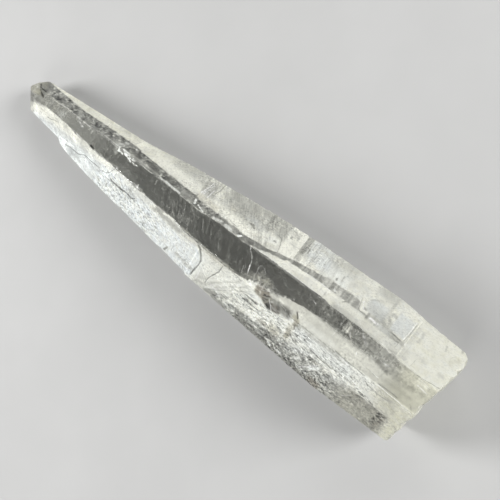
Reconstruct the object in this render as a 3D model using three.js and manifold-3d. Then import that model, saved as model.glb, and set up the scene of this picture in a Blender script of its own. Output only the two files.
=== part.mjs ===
// A long quartz crystal that tapers from a broken base to a low pointed end, grown as one piece.
// Millimetres. +X runs from the point to the base, +Z is up, and the crystal lies on its widest
// prism face. The origin is under the middle of its bounding box.

import * as THREE from "three";
import { ConvexGeometry } from "three/addons/geometries/ConvexGeometry.js";
import { mergeVertices } from "three/addons/utils/BufferGeometryUtils.js";
import Module from "manifold-3d";

const wasm = await Module();
wasm.setup();

// ---- Driving dimensions ----
const LENGTH = 111;
const WIDTH = 22;
const THICKNESS = 19;

const POINT_X = -LENGTH / 2;
const BASE_X = LENGTH / 2;
const WIDEST = WIDTH / 2;
const FAR = 60;

// Neighbouring prism faces of quartz meet at 120 degrees, so a side face falls this much for each
// millimetre that it runs out.
const SIDE_SLOPE = Math.sqrt(3);

// How fast the top face climbs towards the base, behind the front edge of a leaning layer.
const TOP_RISE = 0.12;

// The low faces of the point lean this far from the prism faces that they grow out of.
const POINT_FACE_ANGLE = THREE.MathUtils.degToRad(38.2);

// The very point is worn off by this much.
const POINT_TRIM = 0.25;

// Cross-sections, from the point towards the base. top is the height of the top face. On each
// side, ridge is where the top face ends and wide is the widest place.
const tipSections = [
  { x: -58, top: 5.7, plus: { ridge: 0.95, wide: 2.6 }, minus: { ridge: 1.6, wide: 4.3 } },
  { x: -52, top: 7.0, plus: { ridge: 1.1, wide: 3.15 }, minus: { ridge: 1.6, wide: 4.7 } },
  { x: -41.5, top: 9.2, plus: { ridge: 1.27, wide: 3.97 }, minus: { ridge: 1.5, wide: 5.45 } },
  { x: -19, top: 12.95, plus: { ridge: 1.72, wide: 5.8 }, minus: { ridge: 1.68, wide: 6.6 } },
  { x: 20, top: 16.9, plus: { ridge: 2.2, wide: 8.2 }, minus: { ridge: 1.8, wide: 8 } },
];

const bodySections = [
  { x: -22.5, top: 12.35, plus: { ridge: 1.55, wide: 5.4 }, minus: { ridge: 1.6, wide: 6.4 } },
  { x: -17.6, top: 13.2, plus: { ridge: 1.78, wide: 5.95 }, minus: { ridge: 1.75, wide: 7.4 } },
  { x: -8.6, top: 14.65, plus: { ridge: 2.0, wide: 7.6 }, minus: { ridge: 2.0, wide: 9.4 } },
  { x: 1, top: 16.1, plus: { ridge: 2.2, wide: 8.55 }, minus: { ridge: 2.3, wide: 10.2 } },
  { x: 11, top: 17.1, plus: { ridge: 2.5, wide: 9.55 }, minus: { ridge: 2.42, wide: 10.35 } },
  { x: 25, top: 18.4, plus: { ridge: 3.1, wide: 10.42 }, minus: { ridge: 2.25, wide: 10.5 } },
  { x: 38, top: THICKNESS, plus: { ridge: 3.25, wide: 10.9 }, minus: { ridge: 2.05, wide: 10.7 } },
  { x: FAR, top: 18.6, plus: { ridge: 3.0, wide: 9.85 }, minus: { ridge: 2.0, wide: 9.2 } },
];

// Thin growth layers over the body. A layer covers one side face, and lean is how much nearer the
// base its front edge lies at the ridge than at the widest place.
const minusFront = [
  { x: -26.5, lean: 8.4, top: 11.75, plus: { ridge: 1, wide: 3 }, minus: { ridge: 1.92, wide: 8.12 } },
  { x: -17.6, lean: 0, top: 13.15, plus: { ridge: 1, wide: 4 }, minus: { ridge: 1.96, wide: 8.95 } },
  { x: -8.6, lean: 0, top: 14.6, plus: { ridge: 1, wide: 4 }, minus: { ridge: 2.14, wide: 9.6 } },
  { x: 6, lean: 0, top: 16.3, plus: { ridge: 1, wide: 5 }, minus: { ridge: 2.3, wide: 10.2 } },
];
const minusCollar = [
  { x: 1.6, lean: 6.2, top: 16.0, plus: { ridge: 1, wide: 6 }, minus: { ridge: 2.55, wide: 10.5 } },
  { x: 24, lean: 0, top: 18.15, plus: { ridge: 1, wide: 7 }, minus: { ridge: 2.55, wide: 10.75 } },
  { x: 36, lean: 0, top: 18.8, plus: { ridge: 1, wide: 7 }, minus: { ridge: 2.45, wide: WIDEST } },
  { x: FAR, lean: 0, top: 18.45, plus: { ridge: 1, wide: 7 }, minus: { ridge: 2.25, wide: 9.3 } },
];
const plusCollar = [
  { x: 20.6, lean: 1.6, top: 17.8, plus: { ridge: 3.2, wide: 10.3 }, minus: { ridge: 1, wide: 6 } },
  { x: 40, lean: 0, top: 18.8, plus: { ridge: 3.5, wide: WIDEST }, minus: { ridge: 1, wide: 6 } },
  { x: 44.8, lean: 2.4, top: 18.7, plus: { ridge: 3.4, wide: 10.72 }, minus: { ridge: 1, wide: 6 } },
];
const plusShoulder = [
  { x: 0.2, lean: 2.4, top: 15.7, plus: { ridge: 2.4, wide: 8.5 }, minus: { ridge: 1, wide: 6 } },
  { x: 11, lean: 0, top: 16.9, plus: { ridge: 2.72, wide: 9.66 }, minus: { ridge: 1, wide: 6 } },
  { x: 23, lean: 0, top: 17.9, plus: { ridge: 3.2, wide: 10.38 }, minus: { ridge: 1, wide: 6 } },
];

// A shelf along the widest edge near the point: where its upper edge lies on the side face, and
// its widest place. Each row is x, then y and z of the edge, then y and z of the widest place.
const SHELF = [
  [-42.3, -4.7, 3.2, -5.42, 2.0],
  [-41, -5.0, 3.5, -6.25, 2.0],
  [-38.6, -5.1, 3.9, -6.75, 1.9],
  [-31, -4.35, 6.6, -7.72, 1.9],
  [-22.4, -4.25, 8.4, -8.45, 2.0],
  [-15, -3.9, 9.2, -8.9, 1.9],
];

// The break at the base: how far it leans back below the top edge, and the bites out of its rim.
// A bite is the place across the crystal, its half width and its depth.
const BREAK_LEAN = 0.125;
const BREAK_TILT = 0.14;
const BREAK_BITES = [
  { y: -0.5, halfWidth: 0.9, depth: 0.5 },
  { y: -4.3, halfWidth: 1.0, depth: 0.4 },
  { y: -7.6, halfWidth: 1.3, depth: 0.25 },
  { y: 1.9, halfWidth: 1.2, depth: 0.2 },
];
const BREAK_SET_BACK = 0.08;
const BREAK_CORNER_START = 8.3;
const BREAK_CORNER_CURVE = 0.38;
const BREAK_RIPPLE = { y: -3, z: 21, height: 0.22, spacing: 3.1 };
const BREAK_CELL = 0.9;

const PIT_COUNT = 96;
const PIT_START = 11;
const PIT_END = 51;

// ---- Making and cutting solids ----

function solidFrom(geometry) {
  const bare = geometry.index ? geometry.toNonIndexed() : geometry.clone();
  bare.deleteAttribute("normal");
  bare.deleteAttribute("uv");
  const merged = mergeVertices(bare, 1e-4);
  return new wasm.Manifold(
    new wasm.Mesh({
      numProp: 3,
      vertProperties: merged.attributes.position.array,
      triVerts: new Uint32Array(merged.index.array),
    }),
  );
}

function geometryFrom(solid) {
  const mesh = solid.getMesh();
  const geometry = new THREE.BufferGeometry();
  geometry.setAttribute("position", new THREE.BufferAttribute(mesh.vertProperties, 3));
  geometry.setIndex(new THREE.BufferAttribute(mesh.triVerts, 1));
  const faceted = geometry.toNonIndexed();
  faceted.computeVertexNormals();
  return faceted;
}

function hullOf(points) {
  return solidFrom(new ConvexGeometry(points));
}

// Takes away everything on the outer side of the plane through point with this outward normal.
function cutPast(solid, point, normal) {
  const box = new THREE.BoxGeometry(FAR * 4, FAR * 4, FAR * 4);
  box.translate(0, 0, FAR * 2);
  const turn = new THREE.Quaternion();
  turn.setFromUnitVectors(new THREE.Vector3(0, 0, 1), normal.clone().normalize());
  box.applyQuaternion(turn);
  box.translate(point.x, point.y, point.z);
  return solid.subtract(solidFrom(box));
}

// ---- Cross-sections and the bodies grown through them ----

function heightOfWidest(section, side) {
  return section.top - (side.wide - side.ridge) * SIDE_SLOPE;
}

// The six corners of one cross-section. lean moves the ridges towards the base, so that the front
// edge of a layer slants.
function cornersOf(section) {
  const lean = section.lean ?? 0;
  const corners = [];
  for (const [sign, side] of [[1, section.plus], [-1, section.minus]]) {
    const height = heightOfWidest(section, side);
    const foot = side.wide - height / SIDE_SLOPE;
    const ridgeTop = section.top + lean * TOP_RISE;
    corners.push(new THREE.Vector3(section.x + lean, sign * side.ridge, ridgeTop));
    corners.push(new THREE.Vector3(section.x, sign * side.wide, height));
    corners.push(new THREE.Vector3(section.x, sign * foot, 0));
  }
  return corners;
}

function grow(sections) {
  return hullOf(sections.flatMap(cornersOf));
}

function growShelf() {
  const points = [];
  for (const [x, edgeY, edgeZ, wideY, wideZ] of SHELF) {
    const foot = wideY + wideZ / SIDE_SLOPE;
    points.push(new THREE.Vector3(x, edgeY, edgeZ));
    points.push(new THREE.Vector3(x, wideY, wideZ));
    points.push(new THREE.Vector3(x, foot, 0));
    points.push(new THREE.Vector3(x, 0, 0));
    points.push(new THREE.Vector3(x, 0, edgeZ));
  }
  return hullOf(points);
}

// ---- The point ----

// The low face that grows out of the prism face whose outward normal leans by angle from +Z.
function pointFaceNormal(angle) {
  const along = Math.sin(POINT_FACE_ANGLE);
  const out = Math.cos(POINT_FACE_ANGLE);
  return new THREE.Vector3(-along, out * Math.sin(angle), out * Math.cos(angle));
}

function cutPoint(solid) {
  const sixth = Math.PI / 3;
  const apex = new THREE.Vector3(POINT_X - POINT_TRIM, -0.25, 3.0);
  const plusShoulderPoint = new THREE.Vector3(-52, 3.15, 3.3);
  const minusShoulderPoint = new THREE.Vector3(-52.55, -4.7, 2.0);
  const minusChip = new THREE.Vector3(-0.74, -0.585, 0.33);
  const minusBevel = new THREE.Vector3(-0.61, -0.525, 0.595);
  let cut = cutPast(solid, apex, pointFaceNormal(0));
  cut = cutPast(cut, plusShoulderPoint, pointFaceNormal(sixth));
  cut = cutPast(cut, plusShoulderPoint, pointFaceNormal(2 * sixth));
  cut = cutPast(cut, apex, pointFaceNormal(3 * sixth));
  cut = cutPast(cut, minusShoulderPoint, pointFaceNormal(4 * sixth));
  cut = cutPast(cut, minusShoulderPoint, minusChip);
  cut = cutPast(cut, new THREE.Vector3(-55.43, -0.44, 3.2), minusBevel);
  return cutPast(cut, new THREE.Vector3(POINT_X, 0, 0), new THREE.Vector3(-1, 0, 0));
}

// ---- The broken base ----

// Where the break lies along the crystal at one place of the cross-section.
function breakAt(y, z) {
  const ripple = Math.hypot(y - BREAK_RIPPLE.y, z - BREAK_RIPPLE.z) / BREAK_RIPPLE.spacing;
  let x = BASE_X - BREAK_SET_BACK - BREAK_LEAN * (THICKNESS - z) + BREAK_TILT * (y - 1);
  x += BREAK_RIPPLE.height * Math.cos(ripple * 2 * Math.PI) * Math.min(1, (THICKNESS - z) / 4);
  for (const bite of BREAK_BITES) {
    x -= bite.depth * Math.exp(-(((y - bite.y) / bite.halfWidth) ** 2));
  }
  const corner = Math.max(0, y - BREAK_CORNER_START);
  return x - BREAK_CORNER_CURVE * corner * corner;
}

// A block behind the break, whose front is the broken surface.
function breakBlock() {
  const across = 26;
  const tall = 22;
  const depth = 12;
  const columns = Math.round(across / BREAK_CELL);
  const rows = Math.round(tall / BREAK_CELL);
  const block = new THREE.BoxGeometry(depth, across, tall, 1, columns, rows);
  block.translate(BASE_X + depth / 2, 0, tall / 2 - 1);
  const position = block.attributes.position;
  for (let i = 0; i < position.count; i += 1) {
    if (position.getX(i) < BASE_X + 0.01) {
      position.setX(i, breakAt(position.getY(i), position.getZ(i)));
    }
  }
  return solidFrom(block);
}

// ---- Pits and chips ----

// A value between 0 and 1 that looks random but is the same every time.
function scatter(index, step) {
  return (index * step) % 1;
}

function mix(a, b, share) {
  return a + (b - a) * share;
}

// The place on a side face at x: down is 0 at the ridge and 1 at the widest place.
function placeOnSide(sections, sideName, x, down) {
  const next = sections.findIndex((section) => section.x > x);
  const before = sections[next - 1];
  const after = sections[next];
  const share = (x - before.x) / (after.x - before.x);
  const top = mix(before.top, after.top, share);
  const ridge = mix(before[sideName].ridge, after[sideName].ridge, share);
  const wide = mix(before[sideName].wide, after[sideName].wide, share);
  const sign = sideName === "plus" ? 1 : -1;
  const out = (wide - ridge) * down;
  return new THREE.Vector3(x, sign * (ridge + out), top - out * SIDE_SLOPE);
}

// A closed lump with its long axis along the crystal, pressed flat against a side face.
function lumpOnSide(geometry, place, sideName, size, turn) {
  const sign = sideName === "plus" ? 1 : -1;
  const lump = geometry.clone();
  lump.scale(size.long, size.across, size.deep);
  lump.rotateZ(turn);
  lump.rotateX((-sign * Math.PI) / 3);
  lump.translate(place.x, place.y, place.z);
  return solidFrom(lump);
}

function cutEtchPits(solid) {
  let cut = solid;
  for (let i = 0; i < PIT_COUNT; i += 1) {
    const x = mix(PIT_START, PIT_END, scatter(i + 1, 0.6180339));
    const down = mix(0.3, 0.98, scatter(i + 1, 0.7548777));
    const place = placeOnSide(minusCollar, "minus", x, down);
    const size = {
      long: mix(0.9, 2.4, scatter(i + 1, 0.3819)),
      across: mix(0.3, 0.65, scatter(i + 1, 0.5698403)),
      deep: mix(0.16, 0.34, scatter(i + 1, 0.2360679)),
    };
    const turn = mix(-0.25, 0.35, scatter(i + 1, 0.4142136));
    const pit = lumpOnSide(new THREE.OctahedronGeometry(1), place, "minus", size, turn);
    cut = cut.subtract(pit);
  }
  return cut;
}

// The shallow shell-shaped flake lost from the plus side near the base.
function cutFlake(solid) {
  const place = placeOnSide(plusCollar, "plus", 41.5, 0.5);
  const size = { long: 23, across: 14, deep: 14 };
  const outward = new THREE.Vector3(0, Math.sin(Math.PI / 3), Math.cos(Math.PI / 3));
  place.addScaledVector(outward, size.deep - 0.32);
  const ball = new THREE.IcosahedronGeometry(1, 16);
  return solid.subtract(lumpOnSide(ball, place, "plus", size, 0.1));
}

// Small chips along the edges: place, then half sizes.
const CHIPS = [
  { at: [-50.6, 1.1, 7.3], half: [1.5, 0.5, 0.35] },
  { at: [-36.2, -1.55, 10.15], half: [0.6, 0.4, 0.4] },
  { at: [-6.2, -9.75, 2.5], half: [0.7, 0.35, 0.8] },
  { at: [-18.9, -1.9, 12.95], half: [1.2, 0.5, 0.45] },
  { at: [26.2, -2.6, 18.3], half: [3.4, 0.9, 0.5] },
  { at: [31.8, -3.0, 18.0], half: [1.1, 0.8, 0.8] },
  { at: [3.2, 2.6, 16.2], half: [2.4, 0.5, 0.4] },
];

function cutChips(solid) {
  let cut = solid;
  for (const chip of CHIPS) {
    const lump = new THREE.IcosahedronGeometry(1, 1);
    lump.scale(...chip.half);
    lump.translate(...chip.at);
    cut = cut.subtract(solidFrom(lump));
  }
  return cut;
}

// ---- The crystal ----

function crystal() {
  let solid = grow(tipSections).add(grow(bodySections));
  solid = solid.add(growShelf());
  solid = solid.add(grow(minusFront));
  solid = solid.add(grow(minusCollar));
  solid = solid.add(grow(plusCollar));
  solid = solid.add(grow(plusShoulder));
  solid = cutPoint(solid);
  solid = solid.subtract(breakBlock());
  solid = cutPast(solid, new THREE.Vector3(BASE_X, 0, 0), new THREE.Vector3(1, 0, 0));
  solid = cutFlake(solid);
  solid = cutEtchPits(solid);
  return cutChips(solid);
}

const quartz = new THREE.MeshStandardMaterial({ color: 0xe4e6da, roughness: 0.3, metalness: 0 });
const mesh = new THREE.Mesh(geometryFrom(crystal()), quartz);
mesh.name = "quartz_crystal";

const group = new THREE.Group();
group.add(mesh);

export default group;
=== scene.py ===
import bmesh
import bpy
import numpy as np
from mathutils import Matrix, Vector
from mathutils.bvhtree import BVHTree
from mathutils.kdtree import KDTree


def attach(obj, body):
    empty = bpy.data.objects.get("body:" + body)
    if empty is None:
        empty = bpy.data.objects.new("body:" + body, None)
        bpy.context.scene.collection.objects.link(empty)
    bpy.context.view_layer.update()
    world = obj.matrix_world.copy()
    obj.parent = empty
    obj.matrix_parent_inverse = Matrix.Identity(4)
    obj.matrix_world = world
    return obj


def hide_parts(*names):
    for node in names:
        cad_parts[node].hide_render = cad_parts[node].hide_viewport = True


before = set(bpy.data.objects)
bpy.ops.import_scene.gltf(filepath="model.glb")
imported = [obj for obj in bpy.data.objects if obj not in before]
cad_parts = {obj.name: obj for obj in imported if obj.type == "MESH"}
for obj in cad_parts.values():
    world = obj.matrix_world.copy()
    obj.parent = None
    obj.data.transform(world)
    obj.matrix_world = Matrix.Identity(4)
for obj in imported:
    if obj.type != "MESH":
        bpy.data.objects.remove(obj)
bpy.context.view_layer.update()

# A quartz crystal lying on its widest prism face. The CAD solid gives its shape. This script makes
# a fine mesh over it, cuts the low relief of the real surface, and lays on it what is clear, what
# is frosted and what is cracked or stained. Some light and shade is painted in too: shadows under
# ledges, highlights along ridges, glints, a glow along the edges and the shade seen through the strip.
# Objects are in metres. The surface is worked out in millimetres: +X from the point to the base,
# +Y to the smoother side face, called plus, and +Z up. The rough side face is called minus.

MM = 0.001
NODE = "quartz_crystal"

# The fine mesh has squares of COARSE_CELL_MM, halved on the upper faces. Its vertices within
# RIDGE_PULL_MM of a CAD edge that bends by more than RIDGE_BEND_DEGREES are pulled onto that edge.
COARSE_CELL_MM = 0.35
WELD_MM = 0.0005
RIDGE_PULL_MM = 0.11
RIDGE_STEP_MM = 0.04
RIDGE_BEND_DEGREES = 24

# It is then thinned out where coat and slope change least. The weights say how much a change in
# each part of the coat, and in the slope, counts as detail. No place has less than LEAST_DETAIL.
# Detail is told in PLAIN_LEVELS steps, and DETAIL_FACTOR is how strongly it steers the thinning.
MOST_TRIANGLES = 196000
PLAIN_LEVELS = 60
LEAST_DETAIL = 0.1
DETAIL_FACTOR = 0.03
SLOPE_WEIGHT = 0.5
DETAIL_WEIGHTS = {
    "frost": 2.0, "tone": 2.0, "blue": 1.0, "brown": 1.5, "grit": 0.6, "etch": 0.6,
    "crumble": 0.6, "hatch": 0.6, "rung": 0.6, "crack_and_shadow": 0.5, "line": 0.5,
    "crack_and_shadow_side": 0.12, "line_side": 0.12,
}

SIN60 = 0.8660254
FACES = {
    "top": (0, 0, 1),
    "plus": (0, SIN60, 0.5),
    "minus": (0, -SIN60, 0.5),
    "under_plus": (0, SIN60, -0.5),
    "under_minus": (0, -SIN60, -0.5),
    "bottom": (0, 0, -1),
    "base": (1, 0, 0),
    "point": (-1, 0, 0),
}
FACE_NAMES = list(FACES)
UPPER_FACES = ("top", "plus", "minus", "point")
# A face whose normal's X is past one of these belongs to the base or to the point, and a face
# whose normal's Z is past the third to the upper faces.
BASE_X = 0.5
POINT_X = -0.4
UPPER_Z = 0.2

# ---- The camera: close above the crystal, leaning to the base end, with angles in radians ----

IMAGE_SIDE = 500
SENSOR_MM = 36.0
CAMERA_TARGET_MM = np.array((12.676, 1.639, 9.0))
CAMERA_DISTANCE_MM = 150.0
CAMERA_LEAN = 0.3985
CAMERA_SIDE_LEAN = 0.0678
CAMERA_ROLL = 0.6401
CAMERA_FOCAL_PX = 820.2


def unit(v):
    return v / np.linalg.norm(v)


CAMERA_BACK = unit(np.array((np.tan(CAMERA_LEAN), np.tan(CAMERA_SIDE_LEAN), 1.0)))
CAMERA_EYE_MM = CAMERA_TARGET_MM + CAMERA_BACK * CAMERA_DISTANCE_MM
LEVEL_RIGHT = unit(np.cross(-CAMERA_BACK, (0, 1, 0)))
LEVEL_UP = np.cross(LEVEL_RIGHT, -CAMERA_BACK)
CAMERA_RIGHT = LEVEL_RIGHT * np.cos(CAMERA_ROLL) + LEVEL_UP * np.sin(CAMERA_ROLL)
CAMERA_UP = LEVEL_UP * np.cos(CAMERA_ROLL) - LEVEL_RIGHT * np.sin(CAMERA_ROLL)

# The marks on the upper faces are placed as the camera sees them, in pixels of its image:
# s runs along the crystal from the pixel of its point, and v across it to the plus side.
POINT_PIXEL = np.array((30.76, 87.86))
AXIS_DEGREES = 38.0
AXIS_ALONG = np.array((np.cos(np.radians(AXIS_DEGREES)), np.sin(np.radians(AXIS_DEGREES))))
AXIS_ACROSS = np.array((AXIS_ALONG[1], -AXIS_ALONG[0]))
# Noise that is drawn out in s and v is this slice of a noise in space.
VIEW_SLICE = 5.5


def seen(points):
    """s and v of points in millimetres."""
    away = points - CAMERA_EYE_MM
    depth = away @ -CAMERA_BACK
    right = IMAGE_SIDE / 2 + CAMERA_FOCAL_PX * (away @ CAMERA_RIGHT) / depth
    down = IMAGE_SIDE / 2 - CAMERA_FOCAL_PX * (away @ CAMERA_UP) / depth
    pixel = np.stack([right, down], 1) - POINT_PIXEL
    return pixel @ AXIS_ALONG, pixel @ AXIS_ACROSS


# ---- Regions of the upper faces, as lines of (s, v) ----

WINDOW_HIGH = (
    (0, 6), (32, 5.5), (43, 7), (60, 6), (75, 6.5), (90, 8), (110, 8.5), (122, 7.5), (150, 7.5),
    (165, 8), (180, 8), (195, 6.5), (210, 7.5), (235, 9.7), (256, 9.3), (266, 10.2), (275, 11.8),
    (300, 13.2), (320, 13.3), (345, 14), (362, 14.4), (370, 13.1), (400, 13.5), (425, 12.5), (470, 12),
)
WINDOW_LOW = (
    (0, -6), (5, -8), (16, -7.5), (22, -5.5), (40, -5.5), (60, -8), (70, -9), (95, -11), (115, -11),
    (118, -12), (140, -13.6), (163, -15), (190, -16.4), (200, -17.2), (215, -19.2), (240, -20.3),
    (260, -20.8), (275, -20.4), (286, -18.8), (292, -16.8), (298, -14.2), (305, -13.2), (318, -11.8),
    (332, -8), (350, -5.2), (370, -3.6), (390, -3.6), (428, -4.2), (445, -4.8), (470, -5.5),
)
# How smoky the window is along s.
SMOKE = (
    (0, 0.30), (30, 0.34), (50, 0.26), (75, 0.20), (95, 0.13), (125, 0.07), (145, 0.03), (200, 0.02),
    (300, 0.03), (320, 0.06), (340, 0.10), (370, 0.12), (400, 0.13), (415, 0.20), (435, 0.34), (455, 0.48),
    (475, 0.78), (490, 0.92),
)
# The strip beside the window: mottled along the ridge, then clear and drifting away from it.
STRIP_HIGH = (
    (8, 15), (14, 16.3), (40, 15.5), (55, 15), (80, 17), (110, 18.5), (120, 19.5), (130, 18),
    (165, 17), (197, 17), (205, 15.5), (222, 16), (262, 16), (272, 17.5), (285, 19), (294, 21.5),
    (309, 25), (320, 27.5), (345, 31), (350, 32.5), (370, 34.5), (388, 35.5), (400, 32), (446, 28.5),
)
STRIP_LOW = (
    (268, 10.5), (275, 12.5), (286, 15), (290, 17), (298, 18), (305, 19.5), (309, 22), (322, 23),
    (345, 25), (375, 25.5), (398, 26), (415, 23.5), (446, 24.5),
)
# The etched crust on the minus side, and the darker grainy part of it.
CRUST_HIGH = (
    (262, -60), (272, -50), (278, -42), (286, -36), (294, -31), (304, -27), (330, -27), (345, -25),
    (372, -24), (400, -25), (430, -27), (450, -36), (485, -40),
)
GRAINY_HIGH = (
    (278, -53), (290, -48.5), (300, -46), (320, -46.5), (330, -46), (340, -43.5), (352, -42.5),
    (362, -40), (395, -40.5), (405, -43), (415, -41), (440, -40), (465, -40.5), (485, -41),
)
DARK_PATCH = ((474.5, -53), (478.5, -41))
RIPPLE_PATH = ((250, -53), (258, -50), (265, -44), (272, -37), (281, -29), (293, -20))
RIPPLE_WIDTH = (11, 4)
RIPPLE_END = (4, 0)
RIPPLE_WAVE = 5.6
BLUE_SHADE = ((105, -13), (118, -13), (140, -16), (170, -20), (215, -25), (228, -22), (238, -29))
# Stretches along s. With two numbers one fades in from the first to the second. With three it
# lasts from the first to the second, and fades over the third beyond them.
STRETCHES = {
    "relief": (6, 30),
    "dimples_to_point": (170, 40),
    "dimples_to_base": (350, 450),
    "calmer_to_base": (395, 450),
    "calmer_plus": (335, 370),
    "less_crinkled": (186, 285, 8),
    "hatched": (205, 300, 12),
    "calm": (284, 372, 8),
    "smooth": (185, 130),
    "smooth_bright": (120, 40),
    "finer_plus": (335, 390),
    "rungs": (311, 352, 5),
    "first_rungs": (196, 214, 2),
    "white_minus": (480, 440),
    "near_point": (112, 98),
    "plain_minus": (244, 296, 5),
    "blue_shade": (104, 240, 3),
    "fewer_pricks": (172, 195),
    "haze": (300, 520, 8),
    "dimmer_haze": (438, 472),
    "base_end": (446, 474),
    "base_rim": (478, 492),
    "crust_start": (256, 266),
    "crust_end": (490, 476),
    "paler_crust": (325, 350),
    "dark_low_crust": (330, 350),
    "pale_low_crust": (297, 330, 6),
    "sunk_start": (412, 440),
    "sunk_end": (490, 482),
    "strip": (8, 452, 3),
    "mottled_strip": (262, 225),
    "darker_strip": (30, 150),
    "bolder_bars": (300, 325),
    "pale_strip": (335, 355),
    "dim_strip": (250, 294, 6),
    "grey_strip": (390, 440),
    "cream_strip": (394, 430),
    "window_start": (3, 7),
    "frayed_window": (288, 335, 6),
    "soft_window": (340, 400),
    "straight_window": (264, 368, 8),
    "inner_window": (475, 440),
    "silky": (128, 300, 22),
    "silkiest": (178, 214, 8),
    "window_columns": (350, 375),
    "plus_columns": (292, 430, 8),
    "plus_bars": (316, 352, 5),
    "edge_glow_start": (12, 28),
    "edge_glow_end": (360, 330),
}
# The same across the crystal, along v.
LEVELS = {
    "calm": (27, 23),
    "blue_near_point": (-10, -20),
    "plain_high": (-32, -24),
    "plain_low": (-28, -34),
    "haze": (-21.5, -19.5),
    "base_end": (13.5, 10),
    "low_crust": (-44, -52),
    "sunk": (-37, -43),
    "dark_patch": (-52, -41.5, 0.8),
    "plus_bars": (22, 30),
}

# ---- Coats: how frosted, how bright, how blue and how brown, as the class Coat says ----

COATS = {
    "smoky": (0.30, 0.70, 0.2, 0.0),
    "grey": (0.86, 0.42, 0.1, 0.0),
    "slate": (0.88, 0.13, 0.0, 0.0),
    "dark": (0.97, 0.01, 0.0, 0.0),
    "cream": (0.94, 0.93, -0.1, 0.0),
    "crest": (0.98, 1.10, 0.0, 0.0),
    "white": (0.97, 1.08, 0.6, 0.0),
    "glint": (1.00, 1.45, 0.7, 0.0),
    "bluish": (0.90, 0.80, 0.8, 0.0),
    "beige": (0.93, 0.84, -0.3, 0.14),
    "buff": (0.93, 0.40, -0.6, 0.08),
    "olive": (0.70, 0.40, -0.7, 0.03),
    "ochre": (0.92, 0.55, -0.7, 0.16),
    "rust": (0.92, 0.40, -0.2, 0.42),
    "umber": (0.94, 0.09, 0.0, 0.30),
}

# Straight-sided blocks: first and last s, first and last v, softness along and across, how patchy,
# strength, coat.
BLOCKS = (
    (140, 268, 18, 26, 6, 1.8, 0.3, 0.6, "crest"),
    (274, 322, 25, 34, 4, 2.0, 0.4, 0.5, "crest"),
    (333, 372, 34, 49, 5, 3.0, 0.4, 0.75, "white"),
    (404, 446, 17, 34, 4, 3, 0.5, 0.35, "grey"),
    (414, 436, 25, 35, 3, 2, 0.4, 0.45, "grey"),
    (444, 463, 13, 26, 5, 3, 0.3, 0.28, "grey"),
    (400, 432, 10, 16, 4, 1.5, 0.4, 0.6, "grey"),
    (245, 284, -57, -46, 4, 2.5, 0.3, 0.55, "grey"),
    (258, 296, -46, -38, 4, 3, 0.3, 0.35, "grey"),
    (366, 400, -54, -47, 5, 2, 0.4, 0.4, "grey"),
    (146, 163, -22, -14, 4, 3, 0.4, 0.35, "grey"),
    (194, 248, -46, -29, 8, 3, 0.4, 0.35, "white"),
    (356, 370, -30, -22, 2, 1.5, 0.3, 0.6, "white"),
    (336, 402, -38, -30, 5, 2, 0.3, 0.35, "white"),
    (365, 384, -46, -38, 4, 2, 0.4, 0.4, "white"),
    (415, 436, -46, -38, 4, 2, 0.4, 0.4, "white"),
    (197, 223, 16, 22, 0.6, 0.8, 0.3, 0.6, "beige"),
    (160, 199, 29, 42, 6, 3, 0.5, 0.55, "grey"),
    (204, 212, 23, 44, 1.5, 3, 0.4, 0.35, "grey"),
    (197.5, 210, 23, 38, 0.6, 1.5, 0.2, 0.55, "grey"),
    (222, 268, 27, 50, 5, 4, 0.8, 0.75, "grey"),
    (269, 293, 34, 54, 1.5, 3, 0.8, 0.80, "grey"),
    (236, 264, 16, 24, 3, 1.5, 0.3, 0.8, "crest"),
    (294.5, 311.5, 22, 55, 0.5, 2, 0.2, 0.75, "crest"),
    (311.8, 317.5, 36, 60, 0.4, 2, 0.3, 0.85, "grey"),
    (311.8, 318.5, 28, 37, 0.5, 1, 0.3, 0.35, "grey"),
    (318, 347, 36, 60, 3, 4, 0.7, 0.7, "bluish"),
    (346, 372, 44, 60, 5, 3, 0.7, 0.4, "grey"),
    (399, 420, 29, 45, 2.5, 3, 0.4, 0.9, "bluish"),
    (399, 420, 29, 41, 3, 3, 0.6, 0.45, "grey"),
    (398, 424, 52, 62, 4, 3, 0.6, 0.5, "grey"),
    (431, 448.6, 31, 51, 0.8, 0.8, 0.3, 0.8, "bluish"),
    (449.6, 458, 30, 52, 0.5, 1.5, 0.4, 0.25, "grey"),
    (370, 404, 13, 18, 3, 1.2, 0.8, 0.6, "grey"),
    (357, 415, -25, -20, 5, 0.9, 0.8, 0.6, "grey"),
    (357, 400, -20, -14, 5, 1.5, 0.5, 0.3, "white"),
    (358, 430, -34, -25, 5, 2, 0.2, 0.7, "white"),
    (396, 411, -64, -55.5, 3, 1.0, 0.2, 0.85, "rust"),
)

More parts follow.
